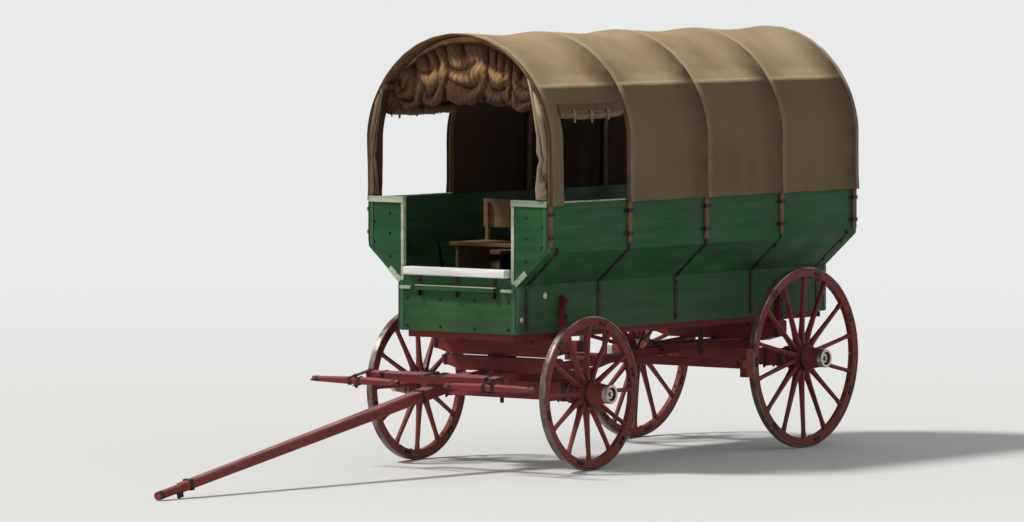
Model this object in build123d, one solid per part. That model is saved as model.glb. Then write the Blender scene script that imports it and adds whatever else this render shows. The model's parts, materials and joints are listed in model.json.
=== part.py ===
from build123d import *
import math
import os

# Covered wagon: a farm wagon's running gear with spoked wooden wheels, a flared green box
# with benches along its sides, and a canvas cover on five bows.
# The wagon looks towards -Y, its left side is +X and +Z is up. All sizes are millimetres.
# Along Y, places are first given from the front of the box, and at the end everything is
# moved so that the origin is on the ground, in the middle of the whole wagon and its tongue.

# Box
BOX_LENGTH = 3658.0
BOARD = 22.0
FLOOR_UNDERSIDE = 950.0
LOWER_BOX_WIDTH = 1040.0
LOWER_BOX_TOP = 1285.0
UPPER_BOX_WIDTH = 1570.0
FLARE_TOP = 1520.0
UPPER_BOX_TOP = 1860.0
FRONT_BOARD_TOP = 1340.0
DASH_RAIL_HEIGHT = 56.0
BOARD_JOINT = 2.5
FLOOR_BOARDS = 6
TAILGATE_TOP = 1425.0
HINGE_BEHIND = 9.0
HINGE_Z = 940.0
HINGE_ROD_RADIUS = 5.0
HINGE_KNUCKLE_RADIUS = 10.0
SILL_HEIGHT = 45.0
SILL_WIDTH = 70.0
SILL_SPACING = 780.0

# Seats
BENCH_SEAT_TOP = 1465.0
BENCH_DEPTH = 280.0
BENCH_FRONT_END = 960.0
BENCH_REAR_END = 3560.0
BENCH_SUPPORTS = 5
SEAT_BOARD = 25.0
DRIVER_SEAT_TOP = 1545.0
DRIVER_SEAT_FRONT = 500.0
DRIVER_SEAT_DEPTH = 380.0
DRIVER_SEAT_HALF = 470.0

# Brake lever, with the rod that pulls the brake beam
LEVER_X = -476.0
LEVER_THICKNESS = 12.0
LEVER_SLOT_WIDTH = 22.0
BRAKE_ROD_RADIUS = 6.0

# Cover and bows: a round arch of three arcs on upright legs
COVER_WIDTH = 1610.0
COVER_SPRING = 2260.0
COVER_RISE = 760.0
COVER_SHOULDER_RADIUS = 600.0
COVER_THICKNESS = 5.0
COVER_HEM = 1845.0
COVER_SHOULDER = 2650.0
WINDOW_FRONT = 165.0
WINDOW_REAR = 885.0
WINDOW_TOP = 2505.0
BOW_COUNT = 5
BOW_WIDTH = 45.0
BOW_THICKNESS = 14.0
BOW_FOOT = 1560.0
BATTEN_WIDTH = 38.0
BATTEN_THICKNESS = 24.0
BATTEN_LEAN = 34.0
FLAP_DEPTH = 70.0
FLAP_UNDERSIDE = 2530.0
FLAP_UNDERSIDE_RADIUS = 3000.0

# Running gear
FRONT_WHEEL_DIAMETER = 1070.0
REAR_WHEEL_DIAMETER = 1300.0
FRONT_SPOKES = 12
REAR_SPOKES = 14
TRACK = 1524.0
FRONT_AXLE_Y = 500.0
REAR_AXLE_Y = 3050.0
AXLE_BEAM_DEPTH = 100.0
AXLE_BEAM_HEIGHT = 120.0
AXLE_BEAM_WIDTH = 1190.0
BOLSTER_WIDTH = 1150.0
STAKE_TOP = 1200.0
STAKE_THICKNESS = 45.0
RUB_PLATE_RADIUS = 100.0
HOUND_HEIGHT = 60.0
SAND_BOARD_HEIGHT = 100.0
REACH_WIDTH = 70.0
REACH_HEIGHT = 56.0
KINGBOLT_RADIUS = 14.0
PIN_CLEARANCE = 0.5

# Tongue and its bars
TONGUE_PIVOT_Y = 80.0
TONGUE_LENGTH = 3300.0
TONGUE_WIDTH = 94.0
TONGUE_HEIGHT = 76.0
TONGUE_TIP_RADIUS = 29.0
TONGUE_PIN_RADIUS = 12.0
DOUBLETREE_LENGTH = 1220.0
DOUBLETREE_AHEAD = 300.0
SINGLETREE_LENGTH = 762.0
SINGLETREE_AHEAD = 165.0

# Worked out from the sizes above
half_lower = LOWER_BOX_WIDTH / 2
half_lower_inside = half_lower - BOARD
half_upper = UPPER_BOX_WIDTH / 2
half_upper_inside = half_upper - BOARD
floor_top = FLOOR_UNDERSIDE + BOARD
sill_underside = FLOOR_UNDERSIDE - SILL_HEIGHT
flare_slope = (FLARE_TOP - LOWER_BOX_TOP) / (half_upper - half_lower)
crown_reach = COVER_WIDTH / 2 - COVER_SHOULDER_RADIUS
crown_radius = crown_reach ** 2 + COVER_RISE ** 2 - COVER_SHOULDER_RADIUS ** 2
crown_radius /= 2 * (COVER_RISE - COVER_SHOULDER_RADIUS)
flare_rise = BOARD * math.sqrt(1 + flare_slope ** 2)
front_axle_z = FRONT_WHEEL_DIAMETER / 2
rear_axle_z = REAR_WHEEL_DIAMETER / 2
front_axle_top = front_axle_z + AXLE_BEAM_HEIGHT / 2
front_hound_top = front_axle_top + HOUND_HEIGHT
sand_board_top = front_hound_top + SAND_BOARD_HEIGHT
rear_axle_top = rear_axle_z + AXLE_BEAM_HEIGHT / 2 - 5.0
rub_plate = 5.5
front_bolster_underside = sand_board_top + 2 * rub_plate + 1.0
tongue_pivot_z = front_axle_top + HOUND_HEIGHT / 2
tongue_slope = math.degrees(math.asin((tongue_pivot_z - TONGUE_TIP_RADIUS) / TONGUE_LENGTH))
tongue_tip_y = TONGUE_PIVOT_Y - TONGUE_LENGTH * math.cos(math.radians(tongue_slope))
tongue_tip_reach = TONGUE_TIP_RADIUS * math.sin(math.radians(tongue_slope))
front_end = tongue_tip_y - tongue_tip_reach
hinge_y = BOX_LENGTH + HINGE_BEHIND
rear_end = hinge_y + HINGE_KNUCKLE_RADIUS
middle = (front_end + rear_end) / 2

nodes = {}


def block(x_low, x_high, y_low, y_high, z_low, z_high):
    """A plain board or beam between the given faces."""
    size = (x_high - x_low, y_high - y_low, z_high - z_low)
    centre = ((x_low + x_high) / 2, (y_low + y_high) / 2, (z_low + z_high) / 2)
    return Pos(*centre) * Box(*size)


def cross_prism(outline, y_low, y_high):
    """A solid whose outline (x, z) shows from the front, from y_low to y_high."""
    front = Plane(origin=(0, y_low, 0), x_dir=(1, 0, 0), z_dir=(0, -1, 0))
    return extrude(front * make_face(Polyline(*outline, close=True)), amount=y_low - y_high)


def side_prism(outline, x_low, x_high):
    """A solid whose outline (y, z) shows from the side, from x_low to x_high."""
    side = Plane(origin=(x_low, 0, 0), x_dir=(0, 1, 0), z_dir=(1, 0, 0))
    return extrude(side * make_face(Polyline(*outline, close=True)), amount=x_high - x_low)


def plan_prism(outline, z_low, z_high):
    """A solid whose outline (x, y) shows from above, from z_low to z_high."""
    level = Plane(origin=(0, 0, z_low))
    return extrude(level * make_face(Polyline(*outline, close=True)), amount=z_high - z_low)


def turned(outline):
    """A solid turned about the X axis from its half outline (x, radius)."""
    return revolve(make_face(Polyline(*outline, close=True)), axis=Axis.X)


def upright_rod(x, y, z_low, z_high, radius):
    return Pos(x, y, (z_low + z_high) / 2) * Cylinder(radius, z_high - z_low)


def cross_rod(x_low, x_high, y, z, radius):
    return Pos((x_low + x_high) / 2, y, z) * Rot(Y=90) * Cylinder(radius, x_high - x_low)


def side_rod(x, start, end, radius):
    """A round rod in a plane across X, between two places (y, z)."""
    length = math.dist(start, end)
    lean = math.degrees(math.atan2(end[1] - start[1], end[0] - start[0]))
    centre = Pos(x, (start[0] + end[0]) / 2, (start[1] + end[1]) / 2)
    return centre * Rot(X=lean - 90) * Cylinder(radius, length)


def lengthwise(shape, direction, least):
    """The edges of a shape that run nearly along a direction and are longer than least."""
    edges = shape.edges().filter_by(lambda edge: edge.length > least)
    return edges.filter_by(lambda edge: abs((edge % 0.5).dot(Vector(*direction))) > 0.97)


def across(shape):
    """The same piece on the wagon's other side."""
    return mirror(shape, about=Plane.YZ)


def keep(name, shape):
    """Stores a finished piece, placed along Y as the origin asks."""
    nodes[name] = Pos(0, -middle, 0) * shape


# Box floor, sills and lower sides; the boards meet in shallow V-shaped joints
def floor_joint(x):
    low = floor_top - BOARD_JOINT
    return cross_prism([(x - 3.5, floor_top + 1), (x + 3.5, floor_top + 1), (x, low)], 0, BOX_LENGTH)


def side_joint(face_x, z):
    """The joint between two side boards, to be cut from their outer face."""
    outline = [(face_x + 1, z - 3.5), (face_x + 1, z + 3.5), (face_x - BOARD_JOINT, z)]
    return cross_prism(outline, -1, BOX_LENGTH + 1)


def box_floor():
    rear = BOX_LENGTH - BOARD - 6
    floor = block(-half_lower_inside, half_lower_inside, BOARD, rear, FLOOR_UNDERSIDE, floor_top)
    width = 2 * half_lower_inside / FLOOR_BOARDS
    for number in range(1, FLOOR_BOARDS):
        floor -= floor_joint(number * width - half_lower_inside)
    slot_half = LEVER_SLOT_WIDTH / 2
    return floor - block(LEVER_X - slot_half, LEVER_X + slot_half, 500, 600, 900, 1000)


def sills():
    """Two long sills under the floor, tied by cross cleats."""
    inner = SILL_SPACING / 2
    left = block(inner, inner + SILL_WIDTH, 30, BOX_LENGTH - 30, sill_underside, FLOOR_UNDERSIDE)
    frame = left + across(left)
    for y in (30, 1240, 2060):
        frame += block(-inner, inner, y, y + 60, sill_underside, FLOOR_UNDERSIDE)
    rear = BOX_LENGTH - 30
    return frame + block(-480, 480, rear, rear + 22, sill_underside, FLOOR_UNDERSIDE - 6)


def lower_side():
    side = block(half_lower_inside, half_lower, 0, BOX_LENGTH, FLOOR_UNDERSIDE, LOWER_BOX_TOP)
    return side - side_joint(half_lower, (FLOOR_UNDERSIDE + LOWER_BOX_TOP) / 2)


# Flare: a slanted board and an upright upper side on each side, with a panel at each end
flare_inner_foot = LOWER_BOX_TOP + flare_rise - BOARD * flare_slope
flare_inner_top = FLARE_TOP + flare_rise - BOARD * flare_slope


def flare_board():
    outline = [
        (half_lower_inside, LOWER_BOX_TOP),
        (half_lower, LOWER_BOX_TOP),
        (half_upper, FLARE_TOP),
        (half_upper_inside, flare_inner_top),
        (half_lower_inside, flare_inner_foot),
    ]
    return cross_prism(outline, 0, BOX_LENGTH)


def upper_side():
    outline = [
        (half_upper, FLARE_TOP),
        (half_upper, UPPER_BOX_TOP),
        (half_upper_inside, UPPER_BOX_TOP),
        (half_upper_inside, flare_inner_top),
    ]
    side = cross_prism(outline, 0, BOX_LENGTH)
    return side - side_joint(half_upper, (FLARE_TOP + UPPER_BOX_TOP) / 2)


def end_panels(y_low):
    outline = [
        (half_lower_inside, flare_inner_foot),
        (half_upper_inside, flare_inner_top),
        (half_upper_inside, UPPER_BOX_TOP),
        (half_lower_inside, UPPER_BOX_TOP),
    ]
    left = cross_prism(outline, y_low, y_low + BOARD)
    return left + across(left)


def front_board():
    board = block(-half_lower_inside, half_lower_inside, 0, BOARD, FLOOR_UNDERSIDE, FRONT_BOARD_TOP)
    ledge = block(-345, 345, -40, 0, 1238, 1266)
    return board + ledge


def dash_rail():
    rail = block(-445, 445, -48, 46, FRONT_BOARD_TOP, FRONT_BOARD_TOP + DASH_RAIL_HEIGHT)
    return chamfer(lengthwise(rail, (1, 0, 0), 800), 7)


def tailgate():
    """Board between the box sides, on two strap hinges whose knuckles turn on the rod."""
    half = half_lower_inside - 6
    gate = block(-half, half, BOX_LENGTH - BOARD, BOX_LENGTH, FLOOR_UNDERSIDE, TAILGATE_TOP)
    for x in (-300, 300):
        gate += block(x - 22, x + 22, BOX_LENGTH, BOX_LENGTH + 8, HINGE_Z, TAILGATE_TOP - 40)
        gate += cross_rod(x - 22, x + 22, hinge_y, HINGE_Z, HINGE_KNUCKLE_RADIUS)
    return gate - cross_rod(-400, 400, hinge_y, HINGE_Z, HINGE_ROD_RADIUS + PIN_CLEARANCE)


def tailgate_rod():
    """The tailgate's hinge rod, in three lugs on the rear cleat."""
    rod = cross_rod(-395, 395, hinge_y, HINGE_Z, HINGE_ROD_RADIUS)
    for x in (-385, 0, 385):
        rod += cross_rod(x - 10, x + 10, hinge_y, HINGE_Z, 8)
        rod += block(x - 10, x + 10, BOX_LENGTH - 8, hinge_y, HINGE_Z - 8, HINGE_Z)
    return rod


# Seats
def bench():
    """Seat board on upright supports that follow the inside of the flare."""
    seat_underside = BENCH_SEAT_TOP - SEAT_BOARD
    seat_outer = half_lower_inside + (seat_underside - flare_inner_foot) / flare_slope - 3
    seat_inner = seat_outer - BENCH_DEPTH
    seat = block(seat_inner, seat_outer, BENCH_FRONT_END, BENCH_REAR_END, seat_underside, BENCH_SEAT_TOP)
    outline = [
        (seat_inner + 30, floor_top),
        (half_lower_inside - 2, floor_top),
        (half_lower_inside - 2, flare_inner_foot + 2),
        (seat_outer - 4, seat_underside - 2),
        (seat_outer - 4, seat_underside),
        (seat_inner + 30, seat_underside),
    ]
    step = (BENCH_REAR_END - BENCH_FRONT_END - 85) / (BENCH_SUPPORTS - 1)
    for number in range(BENCH_SUPPORTS):
        y = BENCH_FRONT_END + 30 + number * step
        seat += cross_prism(outline, y, y + SEAT_BOARD)
    return seat


def driver_seat():
    rear = DRIVER_SEAT_FRONT + DRIVER_SEAT_DEPTH
    half = DRIVER_SEAT_HALF
    underside = DRIVER_SEAT_TOP - SEAT_BOARD
    seat = block(-half, half, DRIVER_SEAT_FRONT, rear, underside, DRIVER_SEAT_TOP)
    seat += block(-half, half, rear + 6, rear + 26, DRIVER_SEAT_TOP + 90, DRIVER_SEAT_TOP + 290)
    for x in (-430, 430 - SEAT_BOARD):
        seat += block(x, x + SEAT_BOARD, DRIVER_SEAT_FRONT + 20, rear, floor_top, underside)
        seat += block(x, x + SEAT_BOARD, rear - 24, rear + 6, underside, DRIVER_SEAT_TOP + 270)
    return seat


# Bows and cover
def arch_edges(inset, foot):
    """The arch seen from the front, from one foot to the other, set in by inset."""
    half = COVER_WIDTH / 2
    shoulder = COVER_SHOULDER_RADIUS
    turn = math.atan2(crown_radius - COVER_RISE, crown_reach)
    radius = shoulder - inset
    top = (0, COVER_SPRING + COVER_RISE - inset)

    def shoulder_point(angle, side):
        x = half - shoulder + radius * math.cos(angle)
        return (side * x, COVER_SPRING + radius * math.sin(angle))

    edges = [Line((-half + inset, foot), shoulder_point(0, -1))]
    edges.append(ThreePointArc(shoulder_point(0, -1), shoulder_point(turn / 2, -1), shoulder_point(turn, -1)))
    edges.append(ThreePointArc(shoulder_point(turn, -1), top, shoulder_point(turn, 1)))
    edges.append(ThreePointArc(shoulder_point(turn, 1), shoulder_point(turn / 2, 1), shoulder_point(0, 1)))
    edges.append(Line(shoulder_point(0, 1), (half - inset, foot)))
    return edges


def arch_band(inset, thickness, foot, y_low, y_high):
    """An arch of the given wall thickness with its legs down to foot."""
    half = COVER_WIDTH / 2 - inset
    edges = arch_edges(inset, foot) + arch_edges(inset + thickness, foot)
    edges.append(Line((-half, foot), (-half + thickness, foot)))
    edges.append(Line((half, foot), (half - thickness, foot)))
    front = Plane(origin=(0, y_low, 0), x_dir=(1, 0, 0), z_dir=(0, -1, 0))
    return extrude(front * make_face(edges), amount=y_low - y_high)


def bow_centre(number):
    return 26 + number * (BOX_LENGTH - 52) / (BOW_COUNT - 1)


def bow(number):
    y = bow_centre(number)
    return arch_band(COVER_THICKNESS + 1, BOW_THICKNESS, BOW_FOOT, y - BOW_WIDTH / 2, y + BOW_WIDTH / 2)


def along_crease(y_low, y_high, width, thickness, reach):
    """A bar along the left side, square to the arch where the cover turns down."""
    centre_z = COVER_SPRING + COVER_RISE - crown_radius
    turn = Pos(0, (y_low + y_high) / 2, centre_z) * Rot(Y=-BATTEN_LEAN)
    return turn * Pos(crown_radius - reach - thickness / 2, 0, 0) * Box(thickness, y_high - y_low, width)


def stringers():
    """Battens along the inside of the bows where the cover turns down."""
    inside = COVER_THICKNESS + BOW_THICKNESS + 1.8
    left = along_crease(bow_centre(0) - 20, bow_centre(4) + 20, BATTEN_WIDTH, BATTEN_THICKNESS, inside)
    return left + across(left)


def cover():
    return arch_band(0, COVER_THICKNESS, COVER_HEM, -8, BOX_LENGTH + 8)


def cover_roof():
    return cover() & block(-900, 900, -50, BOX_LENGTH + 50, COVER_SHOULDER, 3200)


def cover_eave():
    """The left strip between the crease and the top of the window."""
    return cover() & block(0, 900, -50, BOX_LENGTH + 50, WINDOW_TOP, COVER_SHOULDER)


def cover_side():
    """The left wall below the eave: a narrow strip ahead of the window and the long wall behind."""
    side = cover() & block(0, 900, -50, BOX_LENGTH + 50, 1500, WINDOW_TOP)
    return side - block(700, 900, WINDOW_FRONT, WINDOW_REAR, 1500, WINDOW_TOP)


def rolled_flap(y_low):
    """The end curtain, gathered up under its bow."""
    inset = COVER_THICKNESS + BOW_THICKNESS + 3
    edges = arch_edges(inset, FLAP_UNDERSIDE - 300)
    half = COVER_WIDTH / 2 - inset
    edges.append(Line((half, FLAP_UNDERSIDE - 300), (-half, FLAP_UNDERSIDE - 300)))
    front = Plane(origin=(0, y_low, 0), x_dir=(1, 0, 0), z_dir=(0, -1, 0))
    flap = extrude(front * make_face(edges), amount=-FLAP_DEPTH)
    round_under = Rot(X=90) * Cylinder(FLAP_UNDERSIDE_RADIUS, 2 * FLAP_DEPTH)
    opening = Pos(0, y_low + FLAP_DEPTH / 2, FLAP_UNDERSIDE - FLAP_UNDERSIDE_RADIUS) * round_under
    lower = block(-900, 900, y_low - 1, y_low + FLAP_DEPTH + 1, 1500, FLAP_UNDERSIDE - 70)
    notch = along_crease(y_low - 1, y_low + FLAP_DEPTH + 1, BATTEN_WIDTH + 12, BATTEN_THICKNESS + 28, 0)
    return flap - opening - lower - notch - across(notch)


# Running gear that stays with the box
def bolster(y, underside):
    """The beam that the box lies on, thinner towards its ends, with a stake on each end."""
    half = BOLSTER_WIDTH / 2
    beam = cross_prism([
        (-half, sill_underside), (-half, underside + 40), (-half + 150, underside),
        (half - 150, underside), (half, underside + 40), (half, sill_underside),
    ], y - 50, y + 50)
    stake = side_prism(
        [(y - 32, sill_underside), (y + 32, sill_underside), (y + 22, STAKE_TOP), (y - 22, STAKE_TOP)],
        half_lower, half_lower + STAKE_THICKNESS)
    return beam + stake + across(stake)


def front_bolster():
    plate_low = sand_board_top + rub_plate + 1
    plate = upright_rod(0, FRONT_AXLE_Y, plate_low, front_bolster_underside, RUB_PLATE_RADIUS)
    hole = upright_rod(0, FRONT_AXLE_Y, 700, 1000, KINGBOLT_RADIUS)
    return bolster(FRONT_AXLE_Y, front_bolster_underside) + plate - hole


def kingbolt():
    tip_z = front_axle_z - AXLE_BEAM_HEIGHT / 2 - 40
    shank = upright_rod(0, FRONT_AXLE_Y, tip_z, sill_underside, KINGBOLT_RADIUS)
    head = upright_rod(0, FRONT_AXLE_Y, sill_underside, sill_underside + 14, 26)
    return shank + head


def reach():
    """The pole that joins the axles, over the rear axle and under the sand board."""
    low = front_axle_top + 2
    high = rear_axle_top
    start = FRONT_AXLE_Y - 70
    end = REAR_AXLE_Y + 330
    bend_front = FRONT_AXLE_Y + 140
    bend_rear = REAR_AXLE_Y - 200
    underside = [(start, low), (bend_front, low), (bend_rear, high), (end, high)]
    topside = [(y, z + REACH_HEIGHT) for y, z in reversed(underside)]
    pole = side_prism(underside + topside, -REACH_WIDTH / 2, REACH_WIDTH / 2)
    pole -= upright_rod(0, FRONT_AXLE_Y, 500, 800, KINGBOLT_RADIUS)
    return pole - upright_rod(0, end - 60, 600, 900, 11)


def rear_hounds():
    """Two braces that spread from the reach back to the rear axle."""
    half = REACH_WIDTH / 2
    outline = [
        (half, REAR_AXLE_Y - 760),
        (half + 48, REAR_AXLE_Y - 760),
        (310, REAR_AXLE_Y - 50),
        (310, REAR_AXLE_Y + 70),
        (255, REAR_AXLE_Y + 70),
        (255, REAR_AXLE_Y - 50),
    ]
    left = plan_prism(outline, rear_axle_top, rear_axle_top + REACH_HEIGHT)
    return left + across(left)


def axle_beam(y, z_low, z_high):
    half = AXLE_BEAM_WIDTH / 2
    return block(-half, half, y - AXLE_BEAM_DEPTH / 2, y + AXLE_BEAM_DEPTH / 2, z_low, z_high)


# The iron arm that a wheel turns on: a collar, a taper and a nut
ARM_COLLAR_RADIUS = 52.0
ARM_ROOT_RADIUS = 34.0
ARM_TIP_RADIUS = 24.0
HUB_INNER = TRACK / 2 - 157
HUB_OUTER = TRACK / 2 + 200
ARM_END = HUB_OUTER - 38


def wheel_arms(y, z):
    outline = [
        (AXLE_BEAM_WIDTH / 2, 0),
        (AXLE_BEAM_WIDTH / 2, ARM_COLLAR_RADIUS),
        (HUB_INNER - 2, ARM_COLLAR_RADIUS),
        (HUB_INNER - 2, ARM_ROOT_RADIUS),
        (ARM_END, ARM_TIP_RADIUS),
        (ARM_END, 16),
        (ARM_END + 34, 16),
        (ARM_END + 34, 0),
    ]
    nut_face = Plane(origin=(ARM_END, 0, 0), x_dir=(0, 1, 0), z_dir=(1, 0, 0))
    nut = extrude(nut_face * RegularPolygon(36, 6), amount=24)
    left = Pos(0, y, z) * (turned(outline) + nut)
    return left + across(left)


def brake_beam():
    """Beam with a block ahead of each rear wheel, hung from the sills."""
    block_face = REAR_WHEEL_DIAMETER / 2 + 14
    y = REAR_AXLE_Y - block_face - 60
    beam = block(-800, 800, y - 70, y - 15, 610, 668)
    for side in (-1, 1):
        x = side * TRACK / 2
        shoe = block(x - 30, x + 30, y - 15, y + 90, 545, 745)
        shoe -= cross_rod(x - 40, x + 40, REAR_AXLE_Y, rear_axle_z, block_face)
        beam += shoe
        strap = block(side * 430 - 20, side * 430 + 20, y - 78, y - 70, 612, sill_underside)
        beam += strap
    return beam


def brake_lever():
    """Hand lever behind the dash, on the right, through the floor, and the rod from its foot."""
    outline = [(575, 860), (607, 860), (385, 1560), (365, 1560)]
    lever = side_prism(outline, LEVER_X - LEVER_THICKNESS / 2, LEVER_X + LEVER_THICKNESS / 2)
    beam_front = REAR_AXLE_Y - REAR_WHEEL_DIAMETER / 2 - 14 - 130
    return lever + side_rod(LEVER_X, (591, 874), (beam_front - 2, 640), BRAKE_ROD_RADIUS)


# Front gear, which turns on the kingbolt
def front_axle():
    beam = axle_beam(FRONT_AXLE_Y, front_axle_z - AXLE_BEAM_HEIGHT / 2, front_axle_top)
    return beam - upright_rod(0, FRONT_AXLE_Y, 400, 700, KINGBOLT_RADIUS + PIN_CLEARANCE)


def sand_board():
    board = cross_prism([
        (-500, sand_board_top), (-500, front_hound_top + 45), (-330, front_hound_top),
        (330, front_hound_top), (500, front_hound_top + 45), (500, sand_board_top),
    ], FRONT_AXLE_Y - 50, FRONT_AXLE_Y + 50)
    board += upright_rod(0, FRONT_AXLE_Y, sand_board_top, sand_board_top + rub_plate, RUB_PLATE_RADIUS)
    return board - upright_rod(0, FRONT_AXLE_Y, 600, 900, KINGBOLT_RADIUS + PIN_CLEARANCE)


def front_hounds():
    """Timbers from the tongue's jaw back to the sway bar that slides under the reach."""
    half = TONGUE_WIDTH / 2 + 5
    stations = [
        # y, inner face x
        (TONGUE_PIVOT_Y - 90, half),
        (TONGUE_PIVOT_Y + 130, half),
        (FRONT_AXLE_Y - 50, 118),
        (FRONT_AXLE_Y + 50, 140),
        (FRONT_AXLE_Y + 470, 320),
    ]
    inner = [(x, y) for y, x in stations]
    outer = [(x + 52, y) for y, x in reversed(stations)]
    left = plan_prism(inner + outer, front_axle_top, front_hound_top)
    sway_bar = block(-420, 420, FRONT_AXLE_Y + 410, FRONT_AXLE_Y + 460, front_axle_top - 36, front_axle_top)
    hounds = left + across(left) + sway_bar
    return hounds - cross_rod(-200, 200, TONGUE_PIVOT_Y, tongue_pivot_z, TONGUE_PIN_RADIUS)


def tongue_pin():
    half = TONGUE_WIDTH / 2 + 5 + 52
    pin = cross_rod(-half - 12, half + 12, TONGUE_PIVOT_Y, tongue_pivot_z, TONGUE_PIN_RADIUS)
    head = cross_rod(half, half + 12, TONGUE_PIVOT_Y, tongue_pivot_z, 20)
    return pin + head + across(head)


# Wheels, turned about the X axis with the outer side towards +X
FELLOE_WIDTH = 45.0
FELLOE_DEPTH = 58.0
TYRE_WIDTH = 48.0
TYRE_THICKNESS = 12.0
SPOKE_ROOT_X = TRACK / 2 - 26


def wheel_spoke(root_radius, tip_radius):
    """A tapered spoke that leans out to the rim, square at its foot and eight-sided above."""
    rim_x = TRACK / 2
    seen_from_front = cross_prism([
        (SPOKE_ROOT_X - 29, root_radius), (SPOKE_ROOT_X + 29, root_radius),
        (rim_x + 17, tip_radius), (rim_x - 17, tip_radius),
    ], -40, 40)
    seen_from_side = side_prism([
        (-18, root_radius), (18, root_radius), (15, tip_radius), (-15, tip_radius),
    ], SPOKE_ROOT_X - 60, rim_x + 60)
    square = seen_from_front & seen_from_side
    foot = square & block(0, 1000, -40, 40, root_radius, 150)
    return chamfer(lengthwise(square, (0, 0, 1), 100), 9) + foot


def wheel_wood(diameter, spoke_count):
    """Hub, spokes and felloes, the spokes set on the hub's raised middle."""
    felloe_outer = diameter / 2 - TYRE_THICKNESS - 0.2
    felloe_inner = felloe_outer - FELLOE_DEPTH
    rim_x = TRACK / 2
    hub = turned([
        (HUB_INNER, ARM_ROOT_RADIUS + PIN_CLEARANCE),
        (HUB_INNER, 74),
        (SPOKE_ROOT_X - 48, 96),
        (SPOKE_ROOT_X + 48, 96),
        (HUB_OUTER - 60, 62),
        (HUB_OUTER, 62),
        (HUB_OUTER, 46),
        (ARM_END - 4, 46),
        (ARM_END - 4, ARM_TIP_RADIUS + PIN_CLEARANCE),
    ])
    rim = turned([
        (rim_x - FELLOE_WIDTH / 2, felloe_inner),
        (rim_x + FELLOE_WIDTH / 2, felloe_inner),
        (rim_x + FELLOE_WIDTH / 2, felloe_outer),
        (rim_x - FELLOE_WIDTH / 2, felloe_outer),
    ])
    spoke = wheel_spoke(80, felloe_inner + 12)
    spokes = [Rot(X=number * 360 / spoke_count) * spoke for number in range(spoke_count)]
    return hub + rim + spokes


def wheel_tyre(diameter):
    outer = diameter / 2
    inner = outer - TYRE_THICKNESS
    low = TRACK / 2 - TYRE_WIDTH / 2
    return turned([(low, inner), (low + TYRE_WIDTH, inner), (low + TYRE_WIDTH, outer), (low, outer)])


# Tongue with doubletree and singletrees: made level, pivot at the origin, pointing to -Y
def let_down(shape):
    """Places a piece of the tongue where it lies with its tip on the ground."""
    return Pos(0, TONGUE_PIVOT_Y, tongue_pivot_z) * Rot(X=tongue_slope) * shape


def tongue():
    """Square at its butt, then a taper with its long edges cut off, and a round tip."""
    neck = -TONGUE_LENGTH + 230
    half_width = TONGUE_WIDTH / 2
    half_height = TONGUE_HEIGHT / 2
    butt = block(-half_width, half_width, -600, 55, -half_height, half_height)
    from_side = side_prism([
        (-600, -half_height), (neck, -31), (neck, 31), (-600, half_height),
    ], -half_width, half_width)
    from_above = plan_prism([
        (-half_width, -600), (-31, neck), (31, neck), (half_width, -600),
    ], -half_height, half_height)
    taper = from_side & from_above
    taper = chamfer(lengthwise(taper, (0, 1, 0), 1000), 10)
    tip = Pos(0, -TONGUE_LENGTH + 120, 0) * Rot(X=90) * Cylinder(TONGUE_TIP_RADIUS, 240)
    return butt + taper + tip - cross_rod(-100, 100, 0, 0, TONGUE_PIN_RADIUS + PIN_CLEARANCE)


doubletree_low = TONGUE_HEIGHT / 2 + 6
doubletree_high = doubletree_low + 60


def hammer_pin():
    """The pin that the doubletree turns on, with its washer plate on the tongue."""
    y = -DOUBLETREE_AHEAD
    plate = upright_rod(0, y, TONGUE_HEIGHT / 2, doubletree_low - 1, 42)
    shank = upright_rod(0, y, TONGUE_HEIGHT / 2, doubletree_high + 6, 11)
    head = upright_rod(0, y, doubletree_high + 2, doubletree_high + 16, 24)
    return plate + shank + head


def doubletree():
    """Bar tapering to its ends, with a pair of forward clips at each end."""
    half = DOUBLETREE_LENGTH / 2
    y = -DOUBLETREE_AHEAD
    outline = [
        (-half, y - 26), (-120, y - 46), (120, y - 46), (half, y - 26),
        (half, y + 26), (120, y + 46), (-120, y + 46), (-half, y + 26),
    ]
    bar = plan_prism(outline, doubletree_low, doubletree_high)
    for side in (-1, 1):
        x = side * (half - 20)
        for z in (doubletree_low - 8, doubletree_high):
            bar += plan_prism([
                (x - 20, y + 15), (x + 20, y + 15),
                (x + 16, y - SINGLETREE_AHEAD - 16), (x - 16, y - SINGLETREE_AHEAD - 16),
            ], z, z + 8)
        bar += upright_rod(x, y - SINGLETREE_AHEAD, doubletree_low - 8, doubletree_high + 8, 8)
    return bar - upright_rod(0, y, 0, 200, 11 + PIN_CLEARANCE)


def singletree(side):
    """Eight-sided bar, thickest in the middle, with a trace eye at each end."""
    centre = side * (DOUBLETREE_LENGTH / 2 - 20)
    y = -DOUBLETREE_AHEAD - SINGLETREE_AHEAD
    z = (doubletree_low + doubletree_high) / 2
    half = SINGLETREE_LENGTH / 2
    outline = [(60, -24), (half, -17), (half, 17), (60, 24)]
    arm = cross_prism(outline, -30, 30) & plan_prism(outline, -30, 30)
    arm = chamfer(lengthwise(arm, (1, 0, 0), 100), 9)
    middle_part = block(-60, 60, -24, 24, -24, 24)
    middle_part = chamfer(lengthwise(middle_part, (1, 0, 0), 100), 9)
    bar = middle_part + arm + across(arm)
    bar -= upright_rod(0, 0, -60, 60, 8 + PIN_CLEARANCE)
    for end in (-1, 1):
        eye = Pos(end * (half - 22), -30, 0) * (Cylinder(18, 10) - Cylinder(9, 12))
        bar += eye
    return Pos(centre, y, z) * bar


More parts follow.
